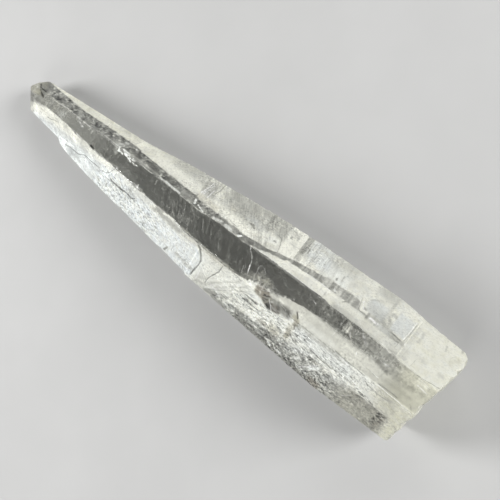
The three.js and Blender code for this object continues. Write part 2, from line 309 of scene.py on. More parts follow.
# Strokes: the path, half its width, softness, how patchy, strength, coat.
STROKES = (
    # The point.
    (((3, -4), (7, -9), (13, -17)), 3.4, 0.9, 0.0, 0.85, "grey"),
    (((2.5, -3), (5, -6), (8, -8)), 2.2, 1.2, 0.1, 0.6, "slate"),
    (((5, -5), (12, -6), (20, -5)), 2.4, 1.2, 0.2, 0.55, "slate"),
    (((12, 11), (13, 4), (13, -4)), 3.8, 2.0, 0.3, 0.7, "slate"),
    (((3, 8), (7, 12), (13, 17)), 3.0, 1.6, 0.3, 0.45, "slate"),
    (((8, 15), (11, 12), (16, 13.5)), 1.2, 1.0, 0.4, 0.5, "slate"),
    (((1, 1), (5, 1), (9, 2)), 3.2, 0.8, 0.1, 0.95, "buff"),
    (((2, 5), (6, 9), (9, 12)), 2.2, 1.0, 0.3, 0.6, "buff"),
    (((4.5, 0), (7.5, 1)), 1.2, 1.0, 0.4, 0.4, "beige"),
    (((9, 14), (12, 10)), 2.0, 1.5, 0.5, 0.4, "ochre"),
    (((31, 5), (31.5, -4)), 1.6, 1.5, 0.4, 0.4, "ochre"),
    (((42, -1), (40, -3)), 3.0, 3.0, 0.5, 0.35, "bluish"),
    (((56, 6), (60, 3), (66, 1)), 1.6, 1.6, 0.9, 0.35, "white"),
    (((70, 5), (75, 3)), 2.0, 2.0, 0.8, 0.3, "white"),
    (((80, -3), (83, -8)), 1.0, 1.2, 0.6, 0.35, "smoky"),
    (((83.2, -8.4), (87, -9.2)), 1.4, 0.5, 0.0, 1.0, "dark"),
    (((83.2, -5), (84.5, -8)), 0.7, 0.5, 0.1, 0.8, "umber"),
    (((64, -7.4), (71, -8.5)), 0.7, 0.6, 0.3, 0.7, "umber"),
    (((11.5, 2.6), (15.3, 0.7)), 1.1, 0.6, 0.2, 0.9, "umber"),
    (((6.3, 8.8), (8, 6.8)), 0.9, 0.5, 0.2, 0.8, "umber"),
    (((7, 6.2), (14.5, 6.6)), 0.7, 0.5, 0.2, 0.8, "umber"),
    # Silver flecks where a crack inside throws the light back.
    (((111.5, 8.9), (115, 8.6), (119.5, 8.2)), 0.9, 0.4, 0.4, 1.0, "glint"),
    (((112.5, 7.3), (116, 6.9), (120, 6.8)), 0.4, 0.3, 0.3, 1.0, "glint"),
    (((106.6, 8.2), (107.2, 6)), 0.7, 0.4, 0.3, 0.9, "glint"),
    (((107.5, 4.4), (110, 5.2), (113, 4.4)), 0.8, 0.4, 0.4, 1.0, "glint"),
    (((114.5, 5.9), (118, 5.3), (121.5, 4.2), (124, 3.2)), 0.7, 0.35, 0.2, 1.0, "glint"),
    (((120.5, 6.2), (123.5, 5.4)), 0.4, 0.3, 0.2, 0.9, "glint"),
    (((124.3, 7.6), (124.8, 5.3), (127.3, 6.4)), 0.4, 0.35, 0.2, 0.9, "glint"),
    (((126, 3.6), (129, 3.3), (132, 4.0)), 0.4, 0.35, 0.2, 0.9, "glint"),
    (((104, 9), (107, 12), (112, 11)), 1.3, 1.3, 0.8, 0.45, "white"),
    (((108.5, 15.5), (111.5, 15.8)), 0.9, 0.7, 0.5, 0.8, "white"),
    (((121.5, 16.4), (124, 15)), 0.9, 0.7, 0.5, 0.8, "white"),
    (((100, 7.5), (104, 8), (106, 2)), 1.6, 1.4, 0.8, 0.35, "white"),
    # Clear hollows with pale rims in the strip, the hollows painted dark as the shade seen through them.
    (((121, 12.5), (125, 14), (128.5, 12)), 2.6, 0.9, 0.2, 0.8, "slate"),
    (((141, 13), (146, 13.6), (150, 13)), 2.4, 0.8, 0.2, 0.8, "slate"),
    (((165, 14), (169, 12)), 3.0, 1.0, 0.3, 0.7, "slate"),
    (((121, 9.6), (130, 9.4), (144, 9.8), (157, 9.3)), 1.0, 0.8, 0.3, 0.45, "cream"),
    (((130.5, 10.5), (134, 13), (136, 15.5)), 0.8, 1.0, 0.5, 0.30, "cream"),
    (((152, 11), (155, 13.5)), 0.8, 1.0, 0.5, 0.30, "cream"),
    # A painted highlight along the ridge between the window and the strip.
    (((157, 9), (170, 9.2), (182, 8.8)), 0.8, 0.5, 0.3, 0.85, "white"),
    (((186, 12), (191, 13), (196, 12)), 3.6, 1.2, 0.2, 0.75, "grey"),
    (((197.3, 19), (197.5, 12)), 0.8, 0.5, 0.3, 0.7, "slate"),
    (((199, 13.5), (200, 10)), 1.1, 0.4, 0.2, 0.9, "glint"),
    (((204, 10.8), (211, 8.6)), 0.6, 0.5, 0.3, 0.8, "glint"),
    (((205, 14), (210, 15.2), (213, 16.8)), 0.8, 0.7, 0.4, 0.8, "crest"),
    (((224, 10), (229, 11), (233, 12.3)), 1.1, 0.6, 0.4, 0.8, "white"),
    (((234.8, 16), (236, 13), (236.5, 11)), 1.0, 0.6, 0.3, 0.7, "slate"),
    (((238, 11.5), (243, 12), (245, 11)), 1.5, 0.5, 0.3, 0.8, "white"),
    (((239, 16.3), (243, 16.3)), 0.9, 0.5, 0.3, 0.8, "crest"),
    (((254.5, 11), (257, 13)), 0.9, 0.4, 0.2, 0.9, "glint"),
    (((273, 13.5), (279, 14.3)), 2.2, 1.2, 0.5, 0.6, "grey"),
    # The plus face.
    (((130, 25), (160, 24), (190, 26)), 3.5, 3, 0.3, 0.5, "crest"),
    (((228, 46), (238, 38), (248, 33)), 3.5, 3, 0.7, 0.5, "grey"),
    (((252, 31), (258, 33), (266, 31)), 2.5, 2.5, 0.5, 0.5, "bluish"),
    (((257.5, 28.4), (260, 28.6), (262.5, 27)), 1.0, 0.7, 0.3, 0.85, "slate"),
    (((231, 30), (236, 28)), 2.5, 2.5, 0.3, 0.5, "beige"),
    (((271.5, 50), (272.5, 42)), 1.3, 0.9, 0.5, 0.5, "slate"),
    (((277, 46), (277.5, 42)), 0.9, 0.7, 0.3, 0.6, "slate"),
    (((281, 27), (288, 30)), 3.0, 2.5, 0.6, 0.45, "white"),
    (((286, 29.5), (288, 29.3)), 0.9, 0.6, 0.2, 0.6, "slate"),
    (((297, 49), (301, 47.5), (303.5, 46)), 2.0, 1.2, 0.4, 0.55, "grey"),
    (((297.6, 43.5), (297.8, 41.5)), 0.8, 0.6, 0.2, 0.7, "slate"),
    (((300, 37.6), (306, 37.2), (311, 38.2)), 0.6, 0.7, 0.4, 0.5, "grey"),
    (((319.8, 45), (320.2, 40)), 0.5, 0.4, 0.2, 0.7, "slate"),
    (((335, 52), (344, 49), (352, 47)), 1.2, 1.2, 0.6, 0.5, "grey"),
    (((358.7, 38), (359, 37)), 0.9, 0.5, 0.1, 0.8, "slate"),
    (((363.8, 44), (364, 39)), 0.7, 0.5, 0.3, 0.6, "slate"),
    (((358.3, 34), (358.6, 15)), 0.45, 0.4, 0.5, 0.5, "slate"),
    (((352.3, 24), (352.3, 16)), 0.45, 0.4, 0.6, 0.5, "grey"),
    (((363.5, 28.3), (365, 27.3)), 1.0, 0.5, 0.2, 0.8, "white"),
    (((377.5, 23), (379.5, 25.5)), 0.7, 0.5, 0.2, 0.8, "slate"),
    (((399, 43), (403, 45), (410, 48)), 0.9, 0.9, 0.5, 0.35, "grey"),
    (((423.5, 40), (426, 45), (430, 44)), 1.2, 1.0, 0.5, 0.55, "slate"),
    (((426, 38), (428.5, 35.5)), 1.6, 1.0, 0.4, 0.55, "slate"),
    (((394, 33), (397, 29), (403, 29.5)), 1.6, 1.0, 0.4, 0.8, "crest"),
    (((420, 27), (427, 26), (433, 27)), 2.2, 1.5, 0.4, 0.55, "bluish"),
    (((434, 29.3), (446, 28.4)), 0.7, 0.6, 0.3, 0.7, "slate"),
    (((437, 25.2), (446, 25.2)), 0.7, 0.6, 0.3, 0.5, "slate"),
    (((437, 18.5), (442, 19)), 1.2, 1.0, 0.5, 0.45, "grey"),
    (((441, 15), (455, 15)), 2.0, 1.5, 0.7, 0.45, "grey"),
    (((461, 49), (462.5, 44), (461.5, 38)), 1.3, 1.0, 0.6, 0.5, "grey"),
    (((468, 27), (474, 27), (480, 26)), 2.0, 1.8, 0.7, 0.4, "grey"),
    (((459, 16), (462, 17)), 1.5, 1.2, 0.5, 0.4, "grey"),
    (((451.3, 14), (451.6, 30)), 0.9, 0.9, 0.2, 0.3, "grey"),
    (((498, 25), (503, 26)), 1.8, 1.5, 0.5, 0.45, "grey"),
    (((487.3, 52), (489, 48)), 0.7, 0.8, 0.3, 0.4, "slate"),
    (((502.5, 58), (503.5, 57)), 0.9, 0.7, 0.3, 0.5, "slate"),
    (((500, 41), (503, 44), (506, 48)), 2.0, 2.5, 0.8, 0.3, "ochre"),
    (((318, 20.5), (340, 22.6), (372, 22.8)), 1.3, 0.9, 0.3, 0.7, "crest"),
    (((372, 22.5), (392, 23), (440, 21)), 1.6, 1.5, 0.5, 0.4, "cream"),
    # The window.
    (((118, -9), (123, -7), (129, -9)), 3.2, 1.4, 0.2, 0.45, "smoky"),
    (((158, -5), (166, -9), (166, -13)), 3.6, 3.0, 0.7, 0.25, "smoky"),
    (((163, 3), (166, 2)), 1.2, 1.2, 0.5, 0.35, "smoky"),
    (((156.5, 5), (157.3, 1)), 0.5, 0.4, 0.4, 0.45, "white"),
    (((139, -12.3), (150, -13.2)), 1.4, 0.6, 0.2, 0.95, "slate"),
    # A painted glint across the window's lower edge.
    (((144.6, -10), (145.2, -13.5)), 0.7, 0.5, 0.2, 0.8, "white"),
    (((196, -12), (203, -10)), 2.4, 2.0, 0.6, 0.5, "smoky"),
    (((120, 7.8), (130, 7.4), (145, 7.6)), 0.9, 0.8, 0.6, 0.3, "white"),
    (((284, -16), (291, -11.5), (299, -9), (310, -8.5)), 3.0, 2.8, 0.6, 0.8, "olive"),
    (((297, -3), (301, -6), (306, -7)), 2.0, 2.4, 0.7, 0.5, "olive"),
    (((288, -15), (293, -13), (299, -13)), 1.6, 1.4, 0.5, 0.45, "cream"),
    (((296, -8), (298.5, -11), (300.5, -16)), 0.9, 0.8, 0.5, 0.6, "cream"),
    (((296, -5), (300, -10), (303, -14)), 0.8, 0.6, 0.3, 0.7, "umber"),
    (((291, -9), (294, -14), (293, -18)), 0.8, 0.7, 0.5, 0.45, "cream"),
    (((307, -9), (314, -12), (322, -11)), 2.2, 1.6, 0.7, 0.45, "smoky"),
    (((395.3, 10.5), (396, 7), (395.5, 1)), 1.3, 0.6, 0.5, 0.6, "cream"),
    (((398.8, 9), (399.6, 5), (399, 2)), 1.2, 0.6, 0.5, 0.7, "cream"),
    (((393.5, 4), (402, 3)), 0.8, 0.6, 0.4, 0.5, "cream"),
    (((397, 12.5), (401, 9), (404, 2), (409, -3)), 1.0, 1.0, 0.4, 0.45, "ochre"),
    (((441, -1.5), (447, -3), (455, -4.5)), 2.0, 1.5, 0.2, 0.75, "slate"),
    (((404, 6), (416, 7), (432, 6.5)), 4.2, 1.4, 0.3, 0.6, "slate"),
    (((441, 9), (452, 9)), 2.8, 1.5, 0.3, 0.35, "slate"),
    (((462, -3), (474, -6)), 2.0, 3.0, 0.3, 0.3, "grey"),
    (((486, 8), (496, 7)), 1.6, 1.8, 0.8, 0.3, "crest"),
    # The minus face and what lies along its ridge.
    (((14, -12), (13.5, -16)), 1.6, 1.2, 0.2, 0.8, "crest"),
    (((72, -12), (84, -13), (90, -11)), 2.5, 2.5, 0.6, 0.3, "grey"),
    (((95, -14), (111, -13)), 2.4, 1.5, 0.3, 0.6, "crest"),
    # Painted shade: a soft grey shadow below the ledge's shadow line.
    (((122, -24.6), (134, -25.4), (145, -26.5)), 1.0, 1.3, 0.4, 0.4, "grey"),
    (((141, -17), (141, -22)), 2.5, 2.0, 0.5, 0.35, "grey"),
    (((170, -18), (180, -18)), 2.5, 1.5, 0.5, 0.4, "ochre"),
    (((174, -18), (190, -19.4), (204, -21)), 2.6, 2.0, 0.3, 0.75, "grey"),
    (((208, -21), (228, -22), (262, -22.5)), 1.0, 1.2, 0.4, 0.4, "ochre"),
    (((202, -16.5), (220, -18.8), (245, -19.8), (272, -19.8)), 1.0, 1.0, 0.5, 0.55, "olive"),
    (((182, -17.2), (187, -16.2), (194, -16)), 0.9, 0.5, 0.3, 0.9, "crest"),
    (((205, -20), (213, -22)), 2.4, 2.0, 0.4, 0.4, "grey"),
    (((216, -41.5), (226, -42), (236, -44)), 1.5, 1.5, 0.5, 0.5, "grey"),
    (((204.5, -44.5), (205.5, -42)), 1.1, 0.6, 0.1, 0.8, "slate"),
    (((300, -53), (335, -56), (372, -59), (396, -60)), 2.6, 1.4, 0.5, 0.8, "slate"),
    (((358, -26), (366, -26.5), (376, -27)), 2.4, 1.5, 0.4, 0.6, "white"),
    (((261, -51.5), (267, -49.5), (274, -49)), 2.3, 1.4, 0.2, 0.8, "grey"),
    (((262, -52), (268, -51.3), (275, -50.5)), 0.7, 0.7, 0.2, 0.5, "slate"),
    (((260, -50), (266, -46.5), (273, -46), (277, -48.5)), 0.7, 0.6, 0.2, 0.7, "white"),
    (((249, -43), (253, -43)), 2.8, 2.0, 0.4, 0.4, "grey"),
    (((289, -30.5), (300, -30.8), (310, -32)), 0.8, 0.8, 0.4, 0.35, "slate"),
    (((302, -28), (308, -26)), 2.5, 1.5, 0.3, 0.5, "white"),
    (((304, -19), (310, -20), (316, -20)), 4.2, 1.6, 0.2, 0.75, "ochre"),
    (((303, -17), (307, -18), (313, -17)), 2.8, 1.2, 0.2, 0.9, "rust"),
    (((303.5, -21), (309, -22), (314, -23)), 1.8, 1.2, 0.4, 0.85, "rust"),
    (((306, -14), (310, -15.5), (314, -14.5)), 0.8, 0.8, 0.3, 0.7, "umber"),
    (((319, -21), (328, -20.3), (336, -19.7), (342, -19.7)), 5.2, 1.6, 0.2, 0.85, "grey"),
    (((318, -23.5), (324, -24), (330, -22.5)), 2.6, 1.4, 0.5, 0.8, "umber"),
    (((334, -18), (340, -18.6), (343, -20.5)), 2.4, 1.4, 0.4, 0.8, "slate"),
    (((322, -19), (328, -19), (333, -22)), 1.2, 1.0, 0.7, 0.7, "slate"),
    (((314, -24.2), (320, -26), (328, -26.3), (334, -25)), 1.3, 0.9, 0.2, 0.9, "umber"),
    (((311, -19.7), (314, -18.6), (317, -17.4)), 1.0, 0.8, 0.2, 0.9, "umber"),
    (((312, -22.6), (316, -22), (320, -20)), 0.9, 0.8, 0.4, 0.7, "umber"),
    (((322, -17.5), (328, -16.8)), 0.8, 0.8, 0.5, 0.5, "umber"),
    (((324, -21), (329, -22)), 1.4, 1.2, 0.6, 0.5, "rust"),
    (((306, -19.5), (307.5, -21)), 0.8, 0.8, 0.4, 0.6, "white"),
    (((321, -20.5), (323, -19.5)), 0.7, 0.7, 0.4, 0.6, "white"),
    (((319.5, -18), (318, -23), (315.5, -26)), 0.9, 0.7, 0.4, 0.6, "ochre"),
    (((327, -13.5), (332, -14.2)), 0.9, 0.7, 0.3, 0.7, "crest"),
    (((348.3, -13), (350, -15), (352, -17)), 0.7, 0.6, 0.3, 0.85, "umber"),
    (((349, -18), (354, -20), (353.5, -24)), 2.2, 1.4, 0.25, 0.9, "ochre"),
    (((351, -20.5), (355, -21.5)), 0.8, 0.7, 0.2, 0.8, "rust"),
    (((354, -24), (355.8, -27.5)), 0.8, 0.6, 0.2, 0.8, "umber"),
    (((352, -29), (354, -38)), 3.0, 2.0, 0.4, 0.7, "ochre"),
    (((358, -33), (365, -37)), 2.6, 2.0, 0.4, 0.6, "grey"),
    (((336, -41), (344, -43)), 4.0, 3.0, 0.4, 0.5, "ochre"),
    (((322, -42.5), (329, -42)), 1.8, 1.4, 0.4, 0.55, "rust"),
    (((420, -29), (426, -33)), 4.5, 2.5, 0.2, 0.7, "white"),
    (((388, -52), (395, -48), (400, -43)), 1.6, 1.0, 0.6, 0.8, "glint"),
    (((372, -51), (380, -47)), 1.2, 1.0, 0.7, 0.5, "glint"),
    (((343, -54), (347, -55.5)), 0.8, 0.5, 0.3, 0.8, "glint"),
    (((352, -55), (360, -55.3)), 0.7, 0.5, 0.5, 0.7, "glint"),
    (((418, -53), (424, -49), (429, -44)), 1.6, 1.6, 0.6, 0.40, "slate"),
    (((438, -52), (445, -49), (452, -45)), 2.2, 2.2, 0.7, 0.35, "slate"),
    (((452, -42), (462, -42), (470, -43)), 1.6, 2.2, 0.4, 0.30, "umber"),
    (((442, -36), (452, -38), (460, -40)), 2.5, 3.0, 0.6, 0.35, "grey"),
    (((473, -54), (477, -55)), 1.6, 1.0, 0.5, 0.6, "umber"),
    (((481.5, -44), (480, -50), (478, -56)), 1.3, 1.2, 0.3, 0.5, "rust"),
    (((425, -35), (434, -35.5)), 0.6, 0.5, 0.5, 0.6, "slate"),
    (((390, -35.6), (410, -36.5)), 0.5, 0.5, 0.4, 0.6, "slate"),
    (((446, -26.5), (465, -28), (478, -26)), 0.7, 0.8, 0.5, 0.45, "grey"),
    (((457, -18.9), (465, -18.6), (478, -18.2)), 0.8, 0.7, 0.3, 0.6, "grey"),
    (((483, -27), (486, -33)), 1.5, 1.5, 0.5, 0.35, "grey"),
    (((496, -21), (499, -17), (502, -13)), 0.5, 0.5, 0.2, 0.5, "grey"),
)

# Thin lines, drawn sharp by the material: the path, the width and the strength. No place counts
# as further than LINE_REACH widths from a line.
LINE_REACH = 9.0
# Dark lines: cracks and grooves, and painted shadow lines under the ledges of the minus side.
DARK_LINES = (
    (((5.8, 9.5), (7, 7.5), (9.5, 6.3), (14.5, 6.5)), 1.3, 0.9),
    (((8, 6), (11, 3), (13.5, 2), (15.5, 0.8)), 1.2, 0.9),
    (((31, -12.8), (36, -12.2), (38.5, -11), (41.5, -10.3)), 1.0, 0.7),
    # Painted shade: the dark line along the ledge near the point is that ledge's shadow.
    (((62, -23.3), (70, -22.8), (78, -23), (81.5, -21.5), (84, -19.6), (92, -20.3), (102, -21)),
     1.0, 0.8),
    (((107, -21.5), (111, -20.5), (114, -18.5), (115.5, -14), (116.5, -10.5), (120, -7)), 1.0, 0.6),
    # Painted shade: the shadow line under the next ledge of the minus side.
    (((118, -22.5), (121, -23.7), (130, -24.4), (140, -24.3), (144, -25), (148, -24.8),
      (150, -23.5)), 1.7, 0.95),
    (((137, -31), (140, -29.5), (142, -31.5), (144, -30)), 0.6, 0.4),
    (((161, -31), (164, -33), (168, -35)), 0.7, 0.4),
    (((157.5, -26), (158.5, -26.2)), 1.2, 0.6),
    (((211, -36), (209.5, -38.5), (210.5, -41)), 0.8, 0.5),
    (((229, -20.5), (233, -23), (237, -27), (240.5, -31.5), (240.8, -36), (240.3, -48.5)), 1.7, 0.9),
    (((261, -23), (261.8, -29.5), (259.5, -34), (257.5, -38), (256.8, -43), (257, -46)), 1.2, 0.8),
    (((262, -20.5), (274, -21.3), (285, -22.5)), 0.7, 0.6),
    (((262, -43), (268, -38), (276, -31.5), (285, -25.5), (293, -22)), 0.6, 0.40),
    (((266, -45), (273, -39.5), (281, -33), (290, -27), (299, -23.5)), 0.6, 0.45),
    (((270, -46), (277, -41), (285, -34.5), (294, -29), (303, -27)), 0.7, 0.50),
    (((84.5, 18), (85, 23)), 0.6, 0.3),
    (((117, 20.5), (118.5, 22.5), (121, 25.5)), 0.7, 0.45),
    (((176, 20), (177, 20.2)), 1.0, 0.6),
    (((180.5, 21), (181.4, 21)), 0.9, 0.5),
    (((213.7, 43), (212.6, 36), (211, 30)), 1.0, 0.75),
    (((203.5, 35.5), (202.4, 30), (201.5, 24)), 0.9, 0.75),
    (((197.5, 36), (197, 24)), 0.5, 0.35),
    (((248, 22), (250, 24.3), (252.5, 22.5)), 0.7, 0.5),
    (((231.5, 19), (233.5, 22), (235.5, 23.5)), 0.7, 0.45),
    (((237.5, 19), (240, 18), (247, 17.8)), 0.7, 0.5),
    (((267, 24), (268.5, 26.5), (271, 26.8), (273, 24.5), (271.5, 21.5), (268.5, 21.5), (267, 24)),
     0.5, 0.35),
    (((276, 25.5), (278, 28), (280.5, 25.5), (280, 22)), 0.5, 0.3),
    (((285, 36.2), (290, 35.8), (292, 33), (293.8, 28), (295.3, 22.5)), 0.9, 0.6),
    (((295.3, 22.5), (292, 20.5), (284, 18.2)), 0.7, 0.6),
    (((311.7, 60), (311.7, 44), (312.2, 30)), 0.6, 0.45),
    (((319, 52), (319.2, 38)), 0.5, 0.35),
    (((323, 50), (323.2, 30)), 0.4, 0.25),
    (((327.5, 46), (327.7, 30)), 0.4, 0.25),
    (((391, 38), (393, 33), (393.5, 29), (396, 27), (401, 27.5), (405, 27), (405.3, 24.5)), 0.9, 0.5),
    (((398.5, 42), (402, 45), (406, 46.5), (411, 43.5)), 0.7, 0.25),
    (((449.9, 30), (450.6, 38), (450.9, 50.5)), 1.0, 0.45),
    (((446, 28), (446.8, 24), (446.5, 20)), 0.6, 0.35),
    (((431, 28.4), (438, 29), (447, 28.3)), 0.8, 0.35),
    (((470, 14), (471, 23)), 0.6, 0.35),
    (((458, 15), (458.5, 42)), 0.4, 0.25),
    (((481, 11.3), (492, 12.6), (500, 14), (508, 15.2)), 0.8, 0.65),
    (((402, -19.5), (412, -20.2), (423, -21), (440, -21.6)), 0.9, 0.6),
    (((456, -18.9), (465, -18.4), (480, -18.6)), 1.0, 0.5),
    (((446, -26.5), (465, -28), (478, -26.5)), 0.8, 0.35),
    (((378, -36), (392, -35.4), (400, -36.3), (411, -36.3)), 0.7, 0.55),
    (((425, -35), (434, -36)), 0.9, 0.5),
    (((371.5, -25.5), (372, -31)), 0.8, 0.5),
    (((278, -34), (287, -33), (293, -34.5)), 0.8, 0.6),
    (((300, -34.6), (312, -35.2), (322, -35)), 0.8, 0.6),
    (((304, -38), (320, -38.2), (329, -38.6)), 0.8, 0.6),
    (((288, -38), (298, -37.4), (306, -39)), 0.7, 0.5),
    (((296, -30.6), (304, -31), (312, -31.2)), 1.0, 0.7),
    (((348, -13), (350, -15), (352.5, -17.5)), 1.1, 0.8),
    (((494, -16), (498, -20), (502, -25)), 0.8, 0.4),
    (((498, 46), (501, 50)), 0.6, 0.3),
)
# Bright lines: bright cracks and hairlines, and a few painted highlights along the ridges.
BRIGHT_LINES = (
    (((198.8, 22), (201, 29), (203.6, 37)), 1.2, 1.0),
    (((201.8, 23), (204, 31), (205.5, 36)), 0.8, 0.8),
    (((206.3, 22), (208.2, 32)), 1.1, 0.9),
    (((448.6, 31), (449.2, 40), (449.3, 51.5)), 0.9, 0.9),
    (((408.5, 27.3), (412, 27.2), (419, 26.8)), 2.4, 1.0),
    # A painted highlight along the ridge between the window and the strip.
    (((283, 12.8), (295, 13.2), (310, 12.9), (322, 13.2), (352, 14.2)), 0.7, 0.5),
    (((330, 23.6), (345, 24.6), (362, 24.4)), 0.7, 0.6),
    (((456, -20), (470, -20.9), (485, -21.4), (500, -23)), 0.9, 0.75),
    (((402, -20.9), (420, -22.6)), 1.1, 0.8),
    (((394, 37), (396, 33), (400, 30)), 0.9, 0.8),
    (((271, 10), (274, 7), (278, 4), (281, -1), (282, -4)), 0.8, 0.6),
    (((281.7, -4), (283, -8), (284.3, -11)), 1.5, 0.95),
    (((284, -11), (286, -15), (286, -20), (287, -27)), 0.7, 0.5),
    (((245, -38), (247, -48)), 1.0, 0.8),
    (((262, -45), (270, -45.5), (275.5, -48), (274, -51)), 0.9, 0.7),
    (((264, -43.5), (271, -38.5), (279, -32), (288, -26)), 0.8, 0.6),
    (((268, -45.5), (276, -39.5), (284, -33)), 0.8, 0.6),
    (((399, 13), (402, 5), (405, 0), (409, -3)), 0.8, 0.6),
    (((375, 19), (383, 13.5), (389.5, 10), (390.5, 0), (390, -10)), 0.6, 0.4),
    (((410, 14), (416, 8), (423, 3)), 0.7, 0.7),
    (((408, 10), (408.5, 3), (409, -3)), 0.6, 0.35),
    (((403, 19), (412, 12), (424, 5)), 0.5, 0.4),
    # Painted highlights along the ridge between the window and the strip.
    (((33, 5.4), (38, 6.4), (43, 6.9)), 0.8, 0.5),
    (((55, 5.4), (63, 5.8), (72, 5.6)), 0.8, 0.5),
    (((57, -6.6), (64, -7.6), (72, -9)), 0.9, 0.6),
    (((59, 3.5), (65, 1.5)), 1.0, 0.75),
    (((290, 1), (292, 2), (296, 1.2), (298.5, -0.5)), 0.7, 0.45),
    (((290, 0), (291, -4), (295, -6)), 0.7, 0.4),
    (((300, -2), (303, -7), (306, -11)), 0.7, 0.3),
    (((297, -7), (301, -11), (302.5, -16)), 0.8, 0.35),
    (((303, -1), (309, -5.5), (316, -12)), 0.5, 0.25),
    (((242, -3.5), (243.5, -7), (247, -12)), 0.7, 0.35),
    (((277, -9), (278.5, -13), (280, -17.5)), 0.8, 0.35),
    (((268, -10), (274, -16)), 0.6, 0.25),
    (((184, 6), (190, -2), (200, -12)), 0.6, 0.22),
    (((215, 5), (219, -1), (225, -8)), 0.7, 0.25),
    (((229, 0), (232, -5), (235, -10)), 0.6, 0.25),
    (((167, -36), (166.5, -31)), 0.8, 0.4),
    (((318, -20), (322, -23.5), (326, -27)), 0.8, 0.7),
    (((384, -54), (391, -48), (398, -41.5)), 1.2, 0.9),
    (((430, -53), (436, -50), (441, -45)), 0.7, 0.4),
    (((352, -55.5), (362, -56)), 0.9, 0.7),
    (((354.5, 6.5), (357.5, 5.2)), 1.3, 0.6),
    (((336.2, -4.2), (338.2, -5)), 1.2, 0.55),
    (((419.6, -8.2), (420.4, -10)), 1.3, 0.8),
    (((485, 10), (491, 9.7), (500, 8.9)), 0.9, 0.35),
    (((488, 3.6), (494, 3), (500, 2.6)), 1.4, 0.5),
    (((290, -16), (292, -8), (291, -3)), 0.7, 0.35),
    (((293, -17), (297, -9), (300, -1)), 0.7, 0.40),
    (((297, -17), (303, -9), (310, -4)), 0.6, 0.35),
    (((301, -17), (309, -11), (318, -7)), 0.7, 0.40),
    (((306, -17), (314, -13.5), (325, -10)), 0.8, 0.40),
    (((312, -15), (312, -9), (316, -3)), 0.5, 0.25),
    (((447, 0.8), (451, 0.2), (454.5, 0.4)), 1.0, 0.8),
)


# ---- Noise, the same every run ----

# Large numbers that mix a cell's place and a noise's seed into one number.
HASH_X, HASH_Y, HASH_Z, HASH_SEED, HASH_MIX = 374761393, 668265263, 1440662683, 974634777, 1274126177
LOW_32_BITS = 0xFFFFFFFF
LOW_24_BITS = 0xFFFFFF


def lattice(cell, seed):
    """A number from 0 to 1 for each whole-numbered cell, as well mixed as a random one."""
    x, y, z = cell.T
    h = x * HASH_X + y * HASH_Y + z * HASH_Z + seed * HASH_SEED
    h = (h ^ ((h & LOW_32_BITS) >> 13)) * HASH_MIX
    h = (h & LOW_32_BITS) ^ ((h & LOW_32_BITS) >> 16)
    return (h & LOW_24_BITS) / float(LOW_24_BITS)


def soft_noise(p, size, seed):
    """Soft noise from 0 to 1 at points p, with blobs of the given size."""
    q = p / size
    base = np.floor(q).astype(np.int64)
    t = q - base
    t = t * t * (3 - 2 * t)
    total = np.zeros(len(p))
    for corner in np.ndindex(2, 2, 2):
        weight = np.prod(np.where(corner, t, 1 - t), axis=1)
        total += weight * lattice(base + corner, seed)
    return total


def fractal(p, size, seed, octaves=4, ridged=False):
    """Layers of soft noise, each half the size and strength of the one before, from 0 to 1."""
    size = np.broadcast_to(np.asarray(size, float), (3,))
    total = np.zeros(len(p))
    reach = 0.0
    for i in range(octaves):
        layer = soft_noise(p, size / 2**i, seed + 17 * i)
        if ridged:
            layer = 1 - np.abs(2 * layer - 1)
        total += layer / 2**i
        reach += 1 / 2**i
    return total / reach


def mottle(p, size, seed, octaves=3, ridged=False):
    """Uneven noise whose blobs are pulled about, so that no grid shows."""
    size = np.broadcast_to(np.asarray(size, float), (3,))
    pull = np.stack([fractal(p, size * 2.2, seed + k, 2) - 0.5 for k in (5, 6, 7)], 1)
    return fractal(p + pull * size * 1.8, size, seed, octaves, ridged)


def streaks(p, degrees, length, width, seed, octaves=3):
    """Noise drawn out along a direction in the plane of p's first two columns."""
    c, sn = np.cos(np.radians(degrees)), np.sin(np.radians(degrees))
    u, v, w = p.T
    turned = np.stack([u * c + v * sn, v * c - u * sn, w], 1)
    return mottle(turned, (length, width, 9), seed, octaves)


def cell_noise(p, size, seed):
    """The distance to the nearest scattered point."""
    q = p / np.broadcast_to(np.asarray(size, float), (3,))
    base = np.floor(q).astype(np.int64)
    near = np.full(len(p), 9.0)
    for step in np.ndindex(3, 3, 3):
        cell = base + step - 1
        spot = cell + np.stack([lattice(cell, seed + k) for k in (1, 2, 3)], 1)
        near = np.minimum(near, np.linalg.norm(q - spot, axis=1))
    return near


def ramp(value, low, high):
    """0 below low, 1 above high, and smooth between. low may be over high."""
    t = np.clip((value - low) / (high - low), 0, 1)
    return t * t * (3 - 2 * t)


def blend(a, b, share):
    return a + (b - a) * share


def between(value, low, high, soft):
    """1 from low to high, fading to 0 over the soft width beyond them."""
    return ramp(value, low - soft, low + soft) * ramp(value, high + soft, high - soft)


def fade(value, low, high, soft=None):
    """A ramp, or a stretch that fades at both ends if soft is given."""
    return ramp(value, low, high) if soft is None else between(value, low, high, soft)


def along(line, s):
    """The height of a line of (s, v) at each s."""
    at, height = zip(*line)
    return np.interp(s, at, height)


# ---- The fine mesh ----

def new_object(name, mesh):
    made = bpy.data.objects.new(name, mesh)
    bpy.context.scene.collection.objects.link(made)
    return made


def applied(source):
    """The object's mesh with its modifiers applied. The object itself goes."""
    bpy.context.view_layer.update()
    shown = source.evaluated_get(bpy.context.evaluated_depsgraph_get())
    mesh = bpy.data.meshes.new_from_object(shown)
    bpy.data.objects.remove(source)
    return mesh


